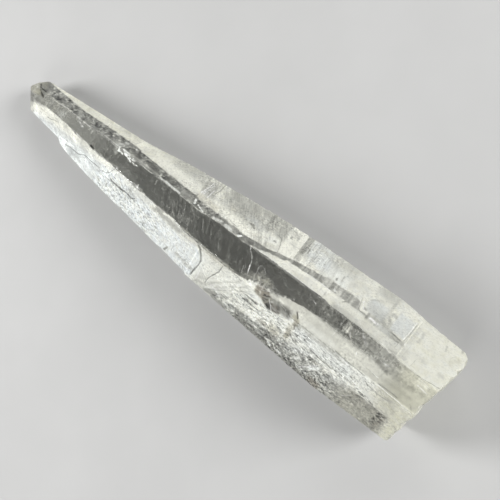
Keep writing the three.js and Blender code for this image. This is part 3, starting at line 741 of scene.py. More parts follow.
def coarse_copy(rough):
    """The CAD crystal's mesh as one of even, small squares."""
    source = new_object("source", rough)
    source.modifiers.new("weld", "WELD").merge_threshold = WELD_MM
    remesh = source.modifiers.new("remesh", "REMESH")
    remesh.mode = "VOXEL"
    remesh.voxel_size = COARSE_CELL_MM
    return applied(source)


def read_vectors(items, name):
    flat = np.zeros(len(items) * 3)
    items.foreach_get(name, flat)
    return flat.reshape(-1, 3)


def nearest_on(tree, places):
    """The nearest places on the CAD crystal, and the normals of its faces there."""
    spots = np.zeros((len(places), 3))
    normals = np.zeros_like(spots)
    for i, place in enumerate(places):
        spot, normal, _, _ = tree.find_nearest(place)
        spots[i] = spot
        normals[i] = normal
    return spots, normals


def split_upper(mesh, tree):
    """Halves the squares of the upper faces, which hold the finest marks."""
    centres = read_vectors(mesh.polygons, "center")
    _, normals = nearest_on(tree, centres)
    x, _, z = normals.T
    upper = (z > UPPER_Z) & (x < BASE_X) | (x < POINT_X)
    build = bmesh.new()
    build.from_mesh(mesh)
    build.faces.ensure_lookup_table()
    edges = {edge for i in np.flatnonzero(upper) for edge in build.faces[i].edges}
    bmesh.ops.subdivide_edges(build, edges=list(edges), cuts=1, use_grid_fill=True)
    build.to_mesh(mesh)
    build.free()


def ridge_points(rough):
    """Close-set points along the CAD crystal's sharp edges."""
    build = bmesh.new()
    build.from_mesh(rough)
    bmesh.ops.remove_doubles(build, verts=build.verts, dist=WELD_MM)
    points = []
    for edge in build.edges:
        bend = np.degrees(edge.calc_face_angle(0.0))
        if bend > RIDGE_BEND_DEGREES:
            a, b = edge.verts[0].co, edge.verts[1].co
            count = max(2, int((b - a).length / RIDGE_STEP_MM))
            points += [a.lerp(b, i / count) for i in range(count + 1)]
    build.free()
    ridges = KDTree(len(points))
    for i, point in enumerate(points):
        ridges.insert(point, i)
    ridges.balance()
    return ridges


def fine_copy(node):
    """The CAD crystal as a fine mesh in millimetres, with its places and its CAD faces' normals."""
    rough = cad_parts[node].data.copy()
    rough.transform(Matrix.Scale(1 / MM, 4))
    tree = BVHTree.FromPolygons(
        [v.co for v in rough.vertices],
        [tuple(face.vertices) for face in rough.polygons],
    )
    ridges = ridge_points(rough)
    mesh = coarse_copy(rough)
    split_upper(mesh, tree)
    places, normals = nearest_on(tree, read_vectors(mesh.vertices, "co"))
    for i, place in enumerate(places):
        spot, _, distance = ridges.find(place)
        if distance < RIDGE_PULL_MM:
            places[i] = spot
    return mesh, places, normals


class Patch:
    """The vertices that lie on some of the crystal's faces."""

    def __init__(self, surface, names):
        self.index = np.flatnonzero(np.isin(surface.face, [FACE_NAMES.index(n) for n in names]))
        self.at = surface.at[self.index]
        self.s, self.v = seen(self.at)
        self.view = np.stack([self.s, self.v, np.full(len(self.s), VIEW_SLICE)], 1)
        self.edge = surface.edge[self.index]
        self.rim = surface.rim[self.index]
        face = surface.face[self.index]
        self.on = {n: (face == FACE_NAMES.index(n)) * 1.0 for n in names}

    def stretch(self, name, moved=0.0):
        """How far each vertex, moved along s, is in one of the STRETCHES."""
        return fade(self.s + moved, *STRETCHES[name])

    def level(self, name, moved=0.0):
        """How far each vertex, moved along v, is in one of the LEVELS."""
        return fade(self.v + moved, *LEVELS[name])


class Surface:
    """The fine mesh's vertices, with the face that each lies on."""

    def __init__(self, mesh, places, face_normals):
        self.mesh = mesh
        self.at = places
        mesh.vertices.foreach_set("co", places.ravel())
        mesh.update()
        self.normal = read_vectors(mesh.vertices, "normal")
        pairs = np.zeros(len(mesh.edges) * 2, np.int64)
        mesh.edges.foreach_get("vertices", pairs)
        self.pairs = pairs.reshape(-1, 2)
        self.degree = np.bincount(pairs, minlength=len(places)).astype(float)
        nominal = np.array(list(FACES.values()), float)
        self.face = np.argmax(face_normals @ nominal.T, axis=1)
        self.face[face_normals[:, 0] > BASE_X] = FACE_NAMES.index("base")
        self.face[face_normals[:, 0] < POINT_X] = FACE_NAMES.index("point")
        bend = 1 - (face_normals * self.normal).sum(1)
        self.edge = np.clip(self.spread(np.clip(bend * 9, 0, 1), 1), 0, 1)
        self.rim = np.clip(2 * self.spread(self.edge, 7), 0, 1)
        self.lying = self.face == FACE_NAMES.index("bottom")

    def spread(self, values, rounds):
        """values evened out with their neighbours' along the mesh's edges."""
        a, b = self.pairs.T
        for _ in range(rounds):
            total = np.zeros_like(values)
            np.add.at(total, a, values[b])
            np.add.at(total, b, values[a])
            values = 0.5 * values + 0.5 * (total / self.degree)
        return values

    def store(self, name, values):
        layer = self.mesh.attributes.new(name, "FLOAT", "POINT")
        layer.data.foreach_set("value", np.ascontiguousarray(values, np.float32))

    def store_on(self, patch, name, values, elsewhere=0.0):
        """Stores values for a patch's vertices, and one value for all the others."""
        whole = np.full(len(self.at), elsewhere)
        whole[patch.index] = values
        self.store(name, whole)


def path_distance(x, y, path):
    """Signed distance to a line of points, and how far past its ends a place lies."""
    best = np.full(len(x), 1e9)
    signed = np.full(len(x), 1e9)
    past = np.zeros(len(x))
    for (ax, ay), (bx, by) in zip(path[:-1], path[1:]):
        length = np.hypot(bx - ax, by - ay)
        ux, uy = (bx - ax) / length, (by - ay) / length
        ahead = (x - ax) * ux + (y - ay) * uy
        inside = np.clip(ahead, 0, length)
        d = np.hypot(x - ax - inside * ux, y - ay - inside * uy)
        side = (x - ax) * uy - (y - ay) * ux
        closer = d < best
        best = np.where(closer, d, best)
        signed = np.where(closer, np.copysign(d, side), signed)
        past = np.where(closer, np.abs(ahead - inside), past)
    return signed, past


def nearest_lines(x, y, stray, lines):
    """For the nearest line: the distance across it as a share of its width, and its strength,
    which fades past its ends. stray moves each place sideways, so that the line is ragged."""
    across = np.full(len(x), LINE_REACH)
    shown = np.zeros(len(x))
    for path, width, strength in lines:
        d, past = path_distance(x, y, path)
        d = (d + stray * np.minimum(width, 1.0)) / width
        closer = np.abs(d) < np.abs(across)
        across = np.where(closer, d, across)
        shown = np.where(closer, strength * ramp(past, 1.6, 0.0), shown)
    return across, shown


# ---- Regions and noises that both the relief and the coats use ----

def strip_region(p):
    """The strip beside the window, and how far it is mottled."""
    low = np.where(p.s < STRIP_LOW[0][0], along(WINDOW_HIGH, p.s), along(STRIP_LOW, p.s))
    high = along(STRIP_HIGH, p.s)
    v = p.v + 1.6 * (mottle(p.at, 0.9, 22) - 0.5)
    inside = ramp(v, low - 0.4, low + 0.4) * ramp(v, high + 0.6, high - 0.6)
    return inside * p.stretch("strip"), p.stretch("mottled_strip")


def crust_region(p):
    """The etched crust on the minus side, and the grainy part of it."""
    wander = 5 * (mottle(p.at, 1.8, 21) - 0.5)
    crust = ramp(p.v + wander, along(CRUST_HIGH, p.s) + 1.5, along(CRUST_HIGH, p.s) - 2.5)
    grainy = ramp(p.v + wander, along(GRAINY_HIGH, p.s) + 1.5, along(GRAINY_HIGH, p.s) - 2)
    where = p.stretch("crust_start") * p.stretch("crust_end")
    return crust * where, crust * grainy * where


def crinkles(p):
    return mottle(p.at, 0.9, 31, 4, ridged=True)


def worm_trails(p):
    return streaks(p.view, 4, 10, 1.7, 33, 3)


def shell_ripples(p):
    """Curved ripples on the minus side, that sweep up in front of the crust."""
    signed, past = path_distance(p.s, p.v, RIPPLE_PATH)
    d = signed + 3.5 * (mottle(p.at, 2.2, 23) - 0.5)
    where = ramp(np.abs(d), *RIPPLE_WIDTH) * ramp(past, *RIPPLE_END)
    return np.sin(d * 2 * np.pi / RIPPLE_WAVE) * where


# ---- Low relief: how far the points are moved out, in millimetres ----

def relief_upper(p):
    on_top = p.on["top"]
    on_minus = p.on["minus"]
    strip, mottled = strip_region(p)
    crust, grainy = crust_region(p)
    swell = fractal(p.at, (9, 5, 5), 13, 3) - 0.5
    crinkle = crinkles(p)
    rungs = streaks(p.view, 90, 45, 2.6, 11) - 0.5
    grains = cell_noise(p.at, (0.46, 0.36, 0.36), 34)
    worms = worm_trails(p)
    height = 0.12 * swell + 0.05 * rungs + 0.07 * (crinkle - 0.65) * (0.6 + 1.6 * on_minus)
    height += 0.05 * shell_ripples(p)
    etched = 0.14 * (worms - 0.5) + 0.10 * (crinkle - 0.65) + 0.06 * (0.6 - grains)
    height = blend(height, etched, crust)
    height = blend(height, 0.04 * (worms - 0.5) + 0.12 * (0.6 - grains), grainy * 0.8)
    chips = mottle(p.at, 0.8, 14, ridged=True)
    height = blend(height, 0.16 * (chips - 0.75), strip * mottled)
    dimples = mottle(p.at, 1.3, 19) - 0.5
    dimpled = 0.006 + 0.03 * p.stretch("dimples_to_point") + 0.05 * p.stretch("dimples_to_base")
    height = blend(height, dimpled * dimples, on_top)
    across, shown = nearest_lines(p.s, p.v, 0, DARK_LINES)
    height -= 0.06 * shown * ramp(np.abs(across), 2.0, 0.2)
    return height * (0.25 + 0.75 * p.stretch("relief"))


def relief_under(p):
    scales = cell_noise(p.at, (1.3, 0.9, 0.9), 41)
    swell = fractal(p.at, (6, 3, 3), 42, 4) - 0.5
    rungs = fractal(p.at, (0.8, 9, 9), 43, 3) - 0.5
    return 0.06 * (0.5 - scales) + 0.18 * swell + 0.06 * rungs


def relief_base(p):
    shell = fractal(p.at, (5.0, 3.4, 3.4), 17, 5, ridged=True)
    return 0.34 * (shell - 0.65) * (1 - p.rim)


def add_relief(s, patches):
    """Moves the vertices by the real surface's low steps, pits and worn edges."""
    height = np.zeros(len(s.at))
    height[patches["upper"].index] = relief_upper(patches["upper"])
    height[patches["under"].index] = relief_under(patches["under"])
    height[patches["base"].index] = relief_base(patches["base"])
    height *= (1 - 0.8 * s.edge) * (1 - 0.95 * s.rim)
    wear = fractal(s.at, 1.2, 20, 3)
    height -= s.edge * (0.01 + 0.05 * ramp(wear, 0.5, 0.75))
    height[s.lying] = 0
    moved = s.at + s.normal * height[:, None]
    moved[:, 2] = np.maximum(moved[:, 2], 0)
    s.mesh.vertices.foreach_set("co", moved.ravel())
    s.mesh.update()


# ---- What each face wears ----

class Coat:
    """Frost 0 is clear and 1 is solid white. Tone is how bright the frost is. Blue turns it from
    cream to bluish white, brown stains it, and grit is how grainy it looks. Etch cuts it with
    thin dark grooves along the crystal, crumble breaks it into bright and dark crumbs, and hatch
    and rung are how much of its fine lines show, the slanting ones and those straight across."""

    LAYERS = ("frost", "tone", "blue", "brown", "grit", "etch", "crumble", "hatch", "rung")

    def __init__(self, count, **layers):
        for name in self.LAYERS:
            setattr(self, name, np.full(count, layers.get(name, 0.0)))

    def turn(self, mask, **targets):
        """Turns layers to new values where the mask is 1."""
        for layer, target in targets.items():
            setattr(self, layer, blend(getattr(self, layer), target, mask))

    def lay(self, mask, name):
        """Lays one of the COATS where the mask is 1."""
        self.turn(mask, **dict(zip(self.LAYERS, COATS[name])))


def paint_frost(p, n):
    """Frost over everything: cream on the plus side, whiter and more crinkled on the minus side."""
    plus = p.on["plus"]
    minus_side = ramp(p.v, along(WINDOW_LOW, p.s) + 1, along(WINDOW_LOW, p.s) - 1)
    minus_side *= 1 - plus
    coat = Coat(len(p.s), frost=0.93, tone=0.86, blue=0.05, grit=1.0)
    rough = blend(1.0, 0.35, p.stretch("calmer_to_base"))
    rough = rough * blend(1.0, 0.6, plus * p.stretch("calmer_plus"))
    coat.frost += 0.16 * (n.cloud - 0.5) * rough
    flecked = 0.50 - 0.22 * plus
    coat.tone += rough * (0.40 * (n.cloud - 0.5) + flecked * (n.fleck - 0.5))
    crinkled = minus_side * (1 - 0.6 * p.stretch("less_crinkled"))
    coat.tone += 0.85 * (n.crinkle - 0.60) * crinkled * rough
    hatched = p.stretch("hatched")
    for noise, least, more in (
        (n.hatch, 0.30, 0.35), (n.threads, 0.25, 0.50), (n.patchwork, 0.40, 0.10),
    ):
        coat.tone += (least + more * hatched) * (noise - 0.5) * plus * rough
    calm = p.stretch("calm") * p.level("calm") * plus
    coat.turn(0.6 * calm, tone=0.92)
    smooth = p.stretch("smooth") * plus
    coat.tone += smooth * (0.10 + 0.12 * p.stretch("smooth_bright") - 0.4 * (n.fleck - 0.5))
    coat.blue -= 0.25 * smooth
    coat.blue += 0.9 * (n.tint - 0.5)
    tint_minus(p, n, coat, minus_side)
    coat.grit *= 0.3 + 1.4 * ramp(n.cloud, 0.35, 0.65)
    coat.grit *= blend(1, 0.45, np.maximum(p.stretch("finer_plus") * plus, smooth))
    coat.grit *= (1 - 0.6 * calm) * (1 - 0.35 * plus)
    lined = plus * rough * (1 - 0.7 * smooth) * (1 - 0.5 * calm)
    coat.hatch += lined * (0.12 + 0.22 * hatched)
    coat.rung += lined * (0.10 + 0.28 * p.stretch("rungs") + 0.3 * p.stretch("first_rungs"))
    return coat


def tint_minus(p, n, coat, minus_side):
    """The minus side is mottled blue near the point, and plain in front of the crust."""
    coat.lay(minus_side * p.stretch("white_minus") * 0.5, "white")
    near_point = p.stretch("near_point")
    lower = p.level("blue_near_point", 4 * (n.cloud - 0.5)) * near_point * minus_side
    coat.blue += 0.5 * lower - 0.35 * (1 - lower) * near_point * minus_side
    coat.tone += (1.1 * (n.cloud - 0.5) - 0.05) * near_point * minus_side
    coat.tone += 0.6 * (n.patchwork - 0.5) * near_point * minus_side
    plain = p.stretch("plain_minus") * minus_side
    coat.tone -= 0.07 * plain * p.level("plain_high")
    coat.tone += 0.06 * plain * p.level("plain_low")
    coat.blue -= 0.15 * plain


def paint_blue_shade(p, n, coat):
    """Between a ledge and a crack the minus side is a little blue, with dark pin pricks."""
    high = along(BLUE_SHADE, p.s)
    blue = ramp(p.v + 6 * (n.cloud - 0.5), high + 1, high - 4) * p.stretch("blue_shade")
    coat.blue += blue * (0.45 + 1.2 * (n.tint - 0.5))
    pricked = blue * blend(1, 0.35, p.stretch("fewer_pricks"))
    coat.tone -= pricked * 0.45 * ramp(n.pins, 0.58, 0.68)
    coat.tone += pricked * 0.25 * ramp(n.pins, 0.42, 0.34)
    coat.grit += 0.4 * pricked
    coat.tone += 0.05 * shell_ripples(p)


def paint_haze(p, n, coat):
    """Smooth cream haze lies between the window and the minus ridge, and over the base end."""
    haze = p.stretch("haze") * p.on["top"] * p.level("haze")
    streaky = 0.30 * (n.silt - 0.5) + 0.20 * (n.fleck - 0.5)
    level = 0.74 - 0.10 * p.stretch("dimmer_haze")
    coat.turn(haze, tone=level + 0.25 * (n.cloud - 0.5) + streaky, blue=0.0)
    coat.grit *= 1 - 0.5 * haze
    end = p.stretch("base_end", 14 * (n.cloud - 0.5))
    rim = p.stretch("base_rim")
    coat.tone += (0.12 * rim * p.level("base_end") - 0.02 - 0.10 * p.on["minus"]) * end
    coat.blue -= (0.10 + 0.35 * p.level("base_end")) * end
    coat.grit *= 1 - 0.5 * end


def paint_crust(p, n, coat):
    """The etched crust of the minus side: bright worms over a grainy grey bed."""
    crust, grainy = crust_region(p)
    furrows = ramp(n.worms, 0.44, 0.34)
    specks = ramp(n.dots, 0.42, 0.34)
    pale = ramp(n.fleck, 0.50, 0.66)
    bed = crust * (1 - grainy)
    coat.turn(bed, frost=0.94, tone=1.20 - 0.28 * furrows - 0.34 * specks + 0.12 * pale)
    coat.crumble += 0.30 * bed
    coat.etch += bed * (0.4 + 0.9 * ramp(n.patchwork, 0.40, 0.60))
    coat.turn(crust, blue=0.25 + 0.8 * (n.tint - 0.5))
    coat.grit += 0.6 * bed
    paler = 0.30 * (p.stretch("paler_crust") - 0.7)
    dark = ramp(n.patchwork + 0.3 * (n.fleck - 0.5) + paler, 0.56, 0.42)
    crumbs = ramp(n.dots, 0.47, 0.60)
    low = 0.10 * p.level("low_crust") * p.stretch("dark_low_crust")
    low = low - 0.10 * p.stretch("pale_low_crust")
    shaded = blend(0.58, 0.17, dark) - low + 0.30 * crumbs
    coat.turn(grainy, frost=0.72 + 0.25 * crumbs, tone=shaded)
    coat.crumble += grainy * blend(0.75, 0.45, dark)

    # Towards the base the grains sink under a smoky, brownish haze.
    sunk = p.stretch("sunk_start", 12 * (n.cloud - 0.5)) * p.stretch("sunk_end") * p.level("sunk")
    murk = 0.44 + 0.35 * (n.cloud - 0.5) + 0.30 * (n.fleck - 0.5) + 0.10 * crumbs
    coat.turn(sunk * 0.9, frost=0.88)
    coat.turn(sunk * 0.85, tone=murk)
    coat.turn(sunk, blue=-0.25, brown=0.05, grit=0.8, crumble=0.15)

    # A dark, crumbly patch with a straight edge ends them.
    patch, _ = path_distance(p.s, p.v, DARK_PATCH)
    patch = ramp(np.abs(patch) + 2 * (n.fleck - 0.5), 5.2, 4.4) * p.level("dark_patch")
    coat.turn(patch, tone=0.18 + 0.40 * crumbs, crumble=0.16, grit=0.5)


def paint_strip(p, n, coat):
    """The strip beside the window, clear glass painted dark as the shade seen through it: mottled
    along the ridge, barred further on.
    """
    strip, mottled = strip_region(p)
    net = mottle(p.view, (2.4, 3.6, 9), 65, 4, ridged=True)
    blobs = mottle(p.view, (3.0, 4.4, 9), 69, 3)
    veins = ramp(net, 0.70, 0.90) * ramp(n.patchwork, 0.40, 0.60)
    # Painted shade: smoke here is the darkness of the shade seen through the strip's clear glass, mottled,
    # with pale veins and specks over it.
    smoke = 0.9 * (n.fleck - 0.5) + 1.3 * (blobs - 0.5) + 0.7 * (n.dots - 0.5)
    smoke -= 0.10 * p.stretch("darker_strip")
    specks = ramp(n.dots, 0.60, 0.72)
    shade_with_veins = 0.24 + 0.50 * smoke + 0.34 * veins + 0.3 * specks
    coat.turn(strip * mottled, frost=0.72 + 0.15 * veins, tone=shade_with_veins)
    # Further on, the clear glass is painted mid grey for the same shade, with bars across.
    bars = ramp(n.bars, 0.36, 0.64)
    barred = 0.10 + 0.20 * p.stretch("bolder_bars")
    base = 0.43 + 0.17 * p.stretch("pale_strip") - 0.17 * p.stretch("dim_strip")
    clear_tone = base + barred * (bars - 0.5) + 0.30 * (n.fleck - 0.5)
    coat.turn(strip * (1 - mottled), frost=0.74 + 0.08 * bars, tone=clear_tone)
    coat.turn(strip, blue=0.1)
    coat.lay(strip * p.stretch("grey_strip") * 0.5, "grey")
    coat.lay(strip * p.stretch("cream_strip") * 0.2, "cream")


def paint_window(p, n, coat):
    """The clear window along the top: smoky at both ends, with silky streaks deep inside."""
    creep = 1.0 * (soft_noise(p.view * (1, 0, 0), 11, 56) - 0.5) + 1.2 * (n.fleck - 0.5)
    frayed = p.stretch("frayed_window")
    soft = blend(0.6, 3.4, np.maximum(p.stretch("soft_window"), 0.55 * frayed))
    creep += frayed * 6 * (streaks(p.view, -50, 9, 1.4, 58) - 0.5)
    low = along(WINDOW_LOW, p.s)
    high = along(WINDOW_HIGH, p.s)
    straight = p.v + creep * blend(1.0, 0.3, p.stretch("straight_window"))
    window = ramp(p.v + creep, low - soft, low + soft) * ramp(straight, high + 0.4, high - 0.5)
    window *= p.stretch("window_start")
    smoke = along(SMOKE, p.s + 22 * (n.cloud - 0.5))
    smoke = smoke * (0.2 + 1.0 * mottle(p.at, 1.5, 54) + 0.6 * mottle(p.at, 0.6, 55))
    silk = streaks(p.view, -57, 15, 1.2, 53)
    threads = streaks(p.view, -60, 12, 0.9, 57)
    silky = p.stretch("silky") * (0.7 + 0.8 * p.stretch("silkiest"))
    smoke += silky * (0.06 * ramp(silk, 0.52, 0.72) + 0.13 * ramp(threads, 0.54, 0.70))
    smoke += 0.10 * ramp(n.columns, 0.5, 0.7) * p.stretch("window_columns")
    smoke += 0.04 * ramp(n.fleck, 0.5, 0.75)
    coat.turn(window, frost=np.clip(smoke, 0, 1), grit=0.5)
    coat.turn(window * p.stretch("inner_window"), tone=0.74, blue=0.1)


class Grain:
    """The noises that the upper faces' coats share."""

    def __init__(self, p):
        self.cloud = mottle(p.at, 3.0, 61, 4)
        self.fleck = mottle(p.at, 0.6, 62)
        self.tint = mottle(p.at, 0.8, 67)
        self.crinkle = crinkles(p)
        self.hatch = streaks(p.view, -58, 13, 1.7, 63)
        self.threads = streaks(p.view, -58, 9, 1.1, 77, 2)
        self.columns = streaks(p.view, 90, 40, 2.6, 64)
        self.patchwork = mottle(p.at, 1.6, 66, 4)
        self.worms = worm_trails(p)
        self.silt = streaks(p.view, 2, 30, 2.2, 75)
        self.bars = streaks(p.view, 90, 30, 1.5, 76, 2)
        self.pins = mottle(p.at, 0.5, 68, 2)
        self.dots = mottle(p.at, 0.36, 73, 2)


def paint_upper(p):
    n = Grain(p)
    coat = paint_frost(p, n)
    paint_blue_shade(p, n, coat)
    paint_haze(p, n, coat)
    paint_crust(p, n, coat)
    lay_blocks(p, n, coat)
    barred = p.on["plus"] * p.level("plus_bars")
    coat.tone -= 0.14 * ramp(n.columns, 0.5, 0.7) * p.stretch("plus_columns") * barred
    coat.tone += 0.35 * (n.bars - 0.5) * p.stretch("plus_bars") * barred
    paint_strip(p, n, coat)
    paint_window(p, n, coat)
    coat.frost = np.maximum(coat.frost, p.edge * (0.35 + 0.5 * (n.patchwork - 0.5)))
    # Painted light: the edges are lightened, as a glow where light comes back out along them.
    coat.tone += 0.22 * p.edge * p.stretch("edge_glow_end") * p.stretch("edge_glow_start")
    lay_strokes(p, n, coat)
    return coat


def lay_blocks(p, n, coat):
    strength = ramp(0.45 * n.hatch + 0.55 * n.patchwork, 0.36, 0.60)
    wander = 2.5 * (n.cloud - 0.5)
    for s0, s1, v0, v1, soft_s, soft_v, patchy, amount, name in BLOCKS:
        inside = between(p.s, s0, s1, soft_s) * between(p.v + wander * soft_v / 2, v0, v1, soft_v)
        coat.lay(inside * amount * blend(1, strength, patchy), name)


def lay_strokes(p, n, coat):
    strength = ramp(n.patchwork, 0.36, 0.6)
    for path, half_width, softness, patchy, amount, name in STROKES:
        signed, _ = path_distance(p.s, p.v, path)
        d = np.abs(signed) + 1.4 * softness * (n.fleck - 0.5)
        inside = ramp(d, half_width + softness, half_width - softness)
        coat.lay(inside * amount * blend(1, strength, patchy), name)


def paint_under(p):
    cloud = mottle(p.at, 3.0, 81, 4)
    fleck = mottle(p.at, 0.9, 82)
    coat = Coat(len(p.s), frost=0.55, tone=0.88, blue=0.3, grit=0.8)
    coat.frost += 0.9 * (cloud - 0.5) + 0.3 * (fleck - 0.5) + 0.4 * p.edge
    coat.tone += 0.3 * (cloud - 0.5) + 0.4 * (fleck - 0.5)
    return coat


def paint_bottom(p):
    coat = Coat(len(p.s), frost=0.10, tone=0.9, blue=0.3, grit=0.4)
    coat.frost += 0.5 * ramp(mottle(p.at, 2.5, 85, 4), 0.5, 0.7)
    return coat


def paint_base(p):
    fleck = mottle(p.at, 0.8, 91)
    coat = Coat(len(p.s), frost=0.88, tone=0.88, blue=-0.2, grit=0.6)
    coat.frost += 0.3 * (fleck - 0.5)
    coat.tone += 0.3 * (fleck - 0.5)
    return coat


PAINTERS = {"upper": paint_upper, "under": paint_under, "bottom": paint_bottom, "base": paint_base}


def paint(s, patches):
    """Stores the coat of every face, and the sharp lines over them."""
    layers = {name: np.zeros(len(s.at)) for name in Coat.LAYERS}
    for name, painter in PAINTERS.items():
        coat = painter(patches[name])
        for layer, values in layers.items():
            values[patches[name].index] = getattr(coat, layer)
    for name, values in layers.items():
        s.store(name, np.clip(values, -1, 1.6))
    upper = patches["upper"]
    stray = 1.3 * (fractal(upper.at, 0.7, 36, 3) - 0.5)
    thinned = 0.45 + 1.0 * fractal(upper.at, 1.6, 37, 2)
    s.store_on(upper, "mark_s", upper.s)
    s.store_on(upper, "mark_v", upper.v)
    for name, lines in (("crack_and_shadow", DARK_LINES), ("line", BRIGHT_LINES)):
        across, shown = nearest_lines(upper.s, upper.v, stray, lines)
        s.store_on(upper, name + "_side", across / thinned, LINE_REACH)
        s.store_on(upper, name, shown)


# ---- Thinning out ----

def plainness(s):
    """Near 1 where coat and slope hardly change between vertices, and 0 in the finest marks."""
    a, b = s.pairs.T
    normal = read_vectors(s.mesh.vertices, "normal")
    change = SLOPE_WEIGHT * np.linalg.norm(normal[a] - normal[b], axis=1)
    for name, weight in DETAIL_WEIGHTS.items():
        values = np.zeros(len(s.at))
        s.mesh.attributes[name].data.foreach_get("value", values)
        values = np.clip(values, -2, 2)
        change += weight * np.abs(values[a] - values[b])
    detail = np.zeros(len(s.at))
    np.maximum.at(detail, a, change)
    np.maximum.at(detail, b, change)
    detail = s.spread(detail, 1)
    return 1 - np.clip(LEAST_DETAIL + (1 - LEAST_DETAIL) * detail, 0, 1)


def thinned_out(s):
    """The fine mesh in metres, with its plainest squares joined into larger triangles."""
    source = new_object("fine", s.mesh)
    group = source.vertex_groups.new(name="plain")
    levels = np.round(plainness(s) * PLAIN_LEVELS).astype(int)
    for level in np.unique(levels):
        group.add(np.flatnonzero(levels == level).tolist(), level / PLAIN_LEVELS, "REPLACE")
    thin = source.modifiers.new("thin", "DECIMATE")
    thin.ratio = MOST_TRIANGLES / sum(len(face.vertices) - 2 for face in s.mesh.polygons)
    thin.vertex_group = group.name
    thin.vertex_group_factor = DETAIL_FACTOR
    mesh = applied(source)
    mesh.transform(Matrix.Scale(MM, 4))
    return mesh


# ---- Materials ----

class Nodes:
    """Short calls for making a material's nodes."""

    def __init__(self, name):
        self.material = bpy.data.materials.new(name)
        self.material.use_nodes = True
        self.tree = self.material.node_tree
        self.tree.nodes.clear()

    def node(self, kind, values=None, **settings):
        node = self.tree.nodes.new("ShaderNode" + kind)
        for key, value in settings.items():
            setattr(node, key, value)
        for key, value in (values or {}).items():
            if hasattr(value, "is_output"):
                self.tree.links.new(value, node.inputs[key])
            else:
                node.inputs[key].default_value = value
        return node

    def attribute(self, name):
        return self.node("Attribute", attribute_name=name).outputs["Fac"]

    def math(self, operation, a, b=0.0, c=0.0, clamp=False):
        node = self.node("Math", {0: a, 1: b, 2: c}, operation=operation, use_clamp=clamp)
        return node.outputs[0]

    def plus(self, value, amount, a, b):
        """value + amount * a * b."""
        return self.math("MULTIPLY_ADD", self.math("MULTIPLY", a, b), amount, value)

    def noise(self, size_mm, detail=4.0, stretch=(1, 1, 1)):
        place = self.node("TexCoord").outputs["Object"]
        scaled = self.node("VectorMath", {0: place, 1: stretch}, operation="MULTIPLY").outputs[0]
        values = {"Vector": scaled, "Scale": 1 / (size_mm * MM), "Detail": detail, "Roughness": 0.6}
        return self.node("TexNoise", values).outputs["Fac"]

    def strokes(self, degrees, length, width):
        """Noise drawn out along a direction in the s and v that the marks are placed by."""
        c, sn = np.cos(np.radians(degrees)), np.sin(np.radians(degrees))
        s, v = self.attribute("mark_s"), self.attribute("mark_v")
        ahead = self.math("MULTIPLY_ADD", v, sn / length, self.math("MULTIPLY", s, c / length))
        aside = self.math("MULTIPLY_ADD", v, -c / width, self.math("MULTIPLY", s, sn / width))
        place = self.node("CombineXYZ", {0: ahead, 1: aside}).outputs[0]
        values = {"Vector": place, "Scale": 1.0, "Detail": 2.0, "Roughness": 0.6}
        return self.node("TexNoise", values).outputs["Fac"]

    def step(self, value, low, high, out_low=0.0, out_high=1.0, kind="SMOOTHSTEP"):
        values = {
            "Value": value, "From Min": low, "From Max": high, "To Min": out_low, "To Max": out_high,
        }
        return self.node("MapRange", values, interpolation_type=kind).outputs["Result"]

    def mix_colour(self, share, a, b, kind="MIX"):
        return self.node("Mix", {0: share, 6: a, 7: b}, data_type="RGBA", blend_type=kind).outputs[2]

    def mix_shader(self, share, a, b):
        return self.node("MixShader", {0: share, 1: a, 2: b}).outputs[0]


CREAM = (0.90, 0.90, 0.80, 1)
BLUE_WHITE = (0.84, 0.885, 0.885, 1)
WARM_CREAM = (0.78, 0.77, 0.60, 1)
STAIN_BROWN = (0.34, 0.21, 0.13, 1)
# The dark lines, cracks and painted ledge shadows, are drawn in the grey below; the bright lines, some of
# them painted ridge highlights, in the white after it.
CRACK_AND_SHADOW_GREY = (0.030, 0.032, 0.026, 1)
LINE_WHITE = (1.0, 1.0, 0.98, 1)
CLEAR_WHITE = (1, 1, 1, 1)
QUARTZ_IOR = 1.544
SMOKE_GREY = (0.5, 0.5, 0.5, 1)
SMOKE_DENSITY = 50.0
BUMP_DEPTH = 0.15 * MM
GLOW_SHARE = 0.25
# Fine lines over the frost: the layer, their direction in degrees, their length and their width.
FINE_LINES = (("hatch", -58, 9, 1.3), ("rung", 90, 14, 1.2))


def sharp_line(n, name, grain):
    """How much of a thin line shows, from the distance across it and its strength."""
    drawn = n.step(n.math("ABSOLUTE", n.attribute(name + "_side")), 0.75, 0.15)
    drawn = n.math("MULTIPLY", drawn, n.attribute(name))
    return n.math("MULTIPLY", drawn, n.step(grain, 0.38, 0.55, 0.35, 1.0))


def frost_share(n, grain_off, crack_and_shadow, line):
    """How much of the surface is frost, which ends in its own fine grain."""
    frost = n.attribute("frost")
    partly = n.math("MULTIPLY", n.math("SUBTRACT", 1.0, frost), frost)
    frost = n.plus(frost, 4.0, partly, grain_off)
    frost = n.math("MAXIMUM", frost, n.math("MULTIPLY", crack_and_shadow, 0.95))
    frost = n.math("MAXIMUM", frost, line)
    return n.math("MULTIPLY", frost, 0.97, clamp=True)


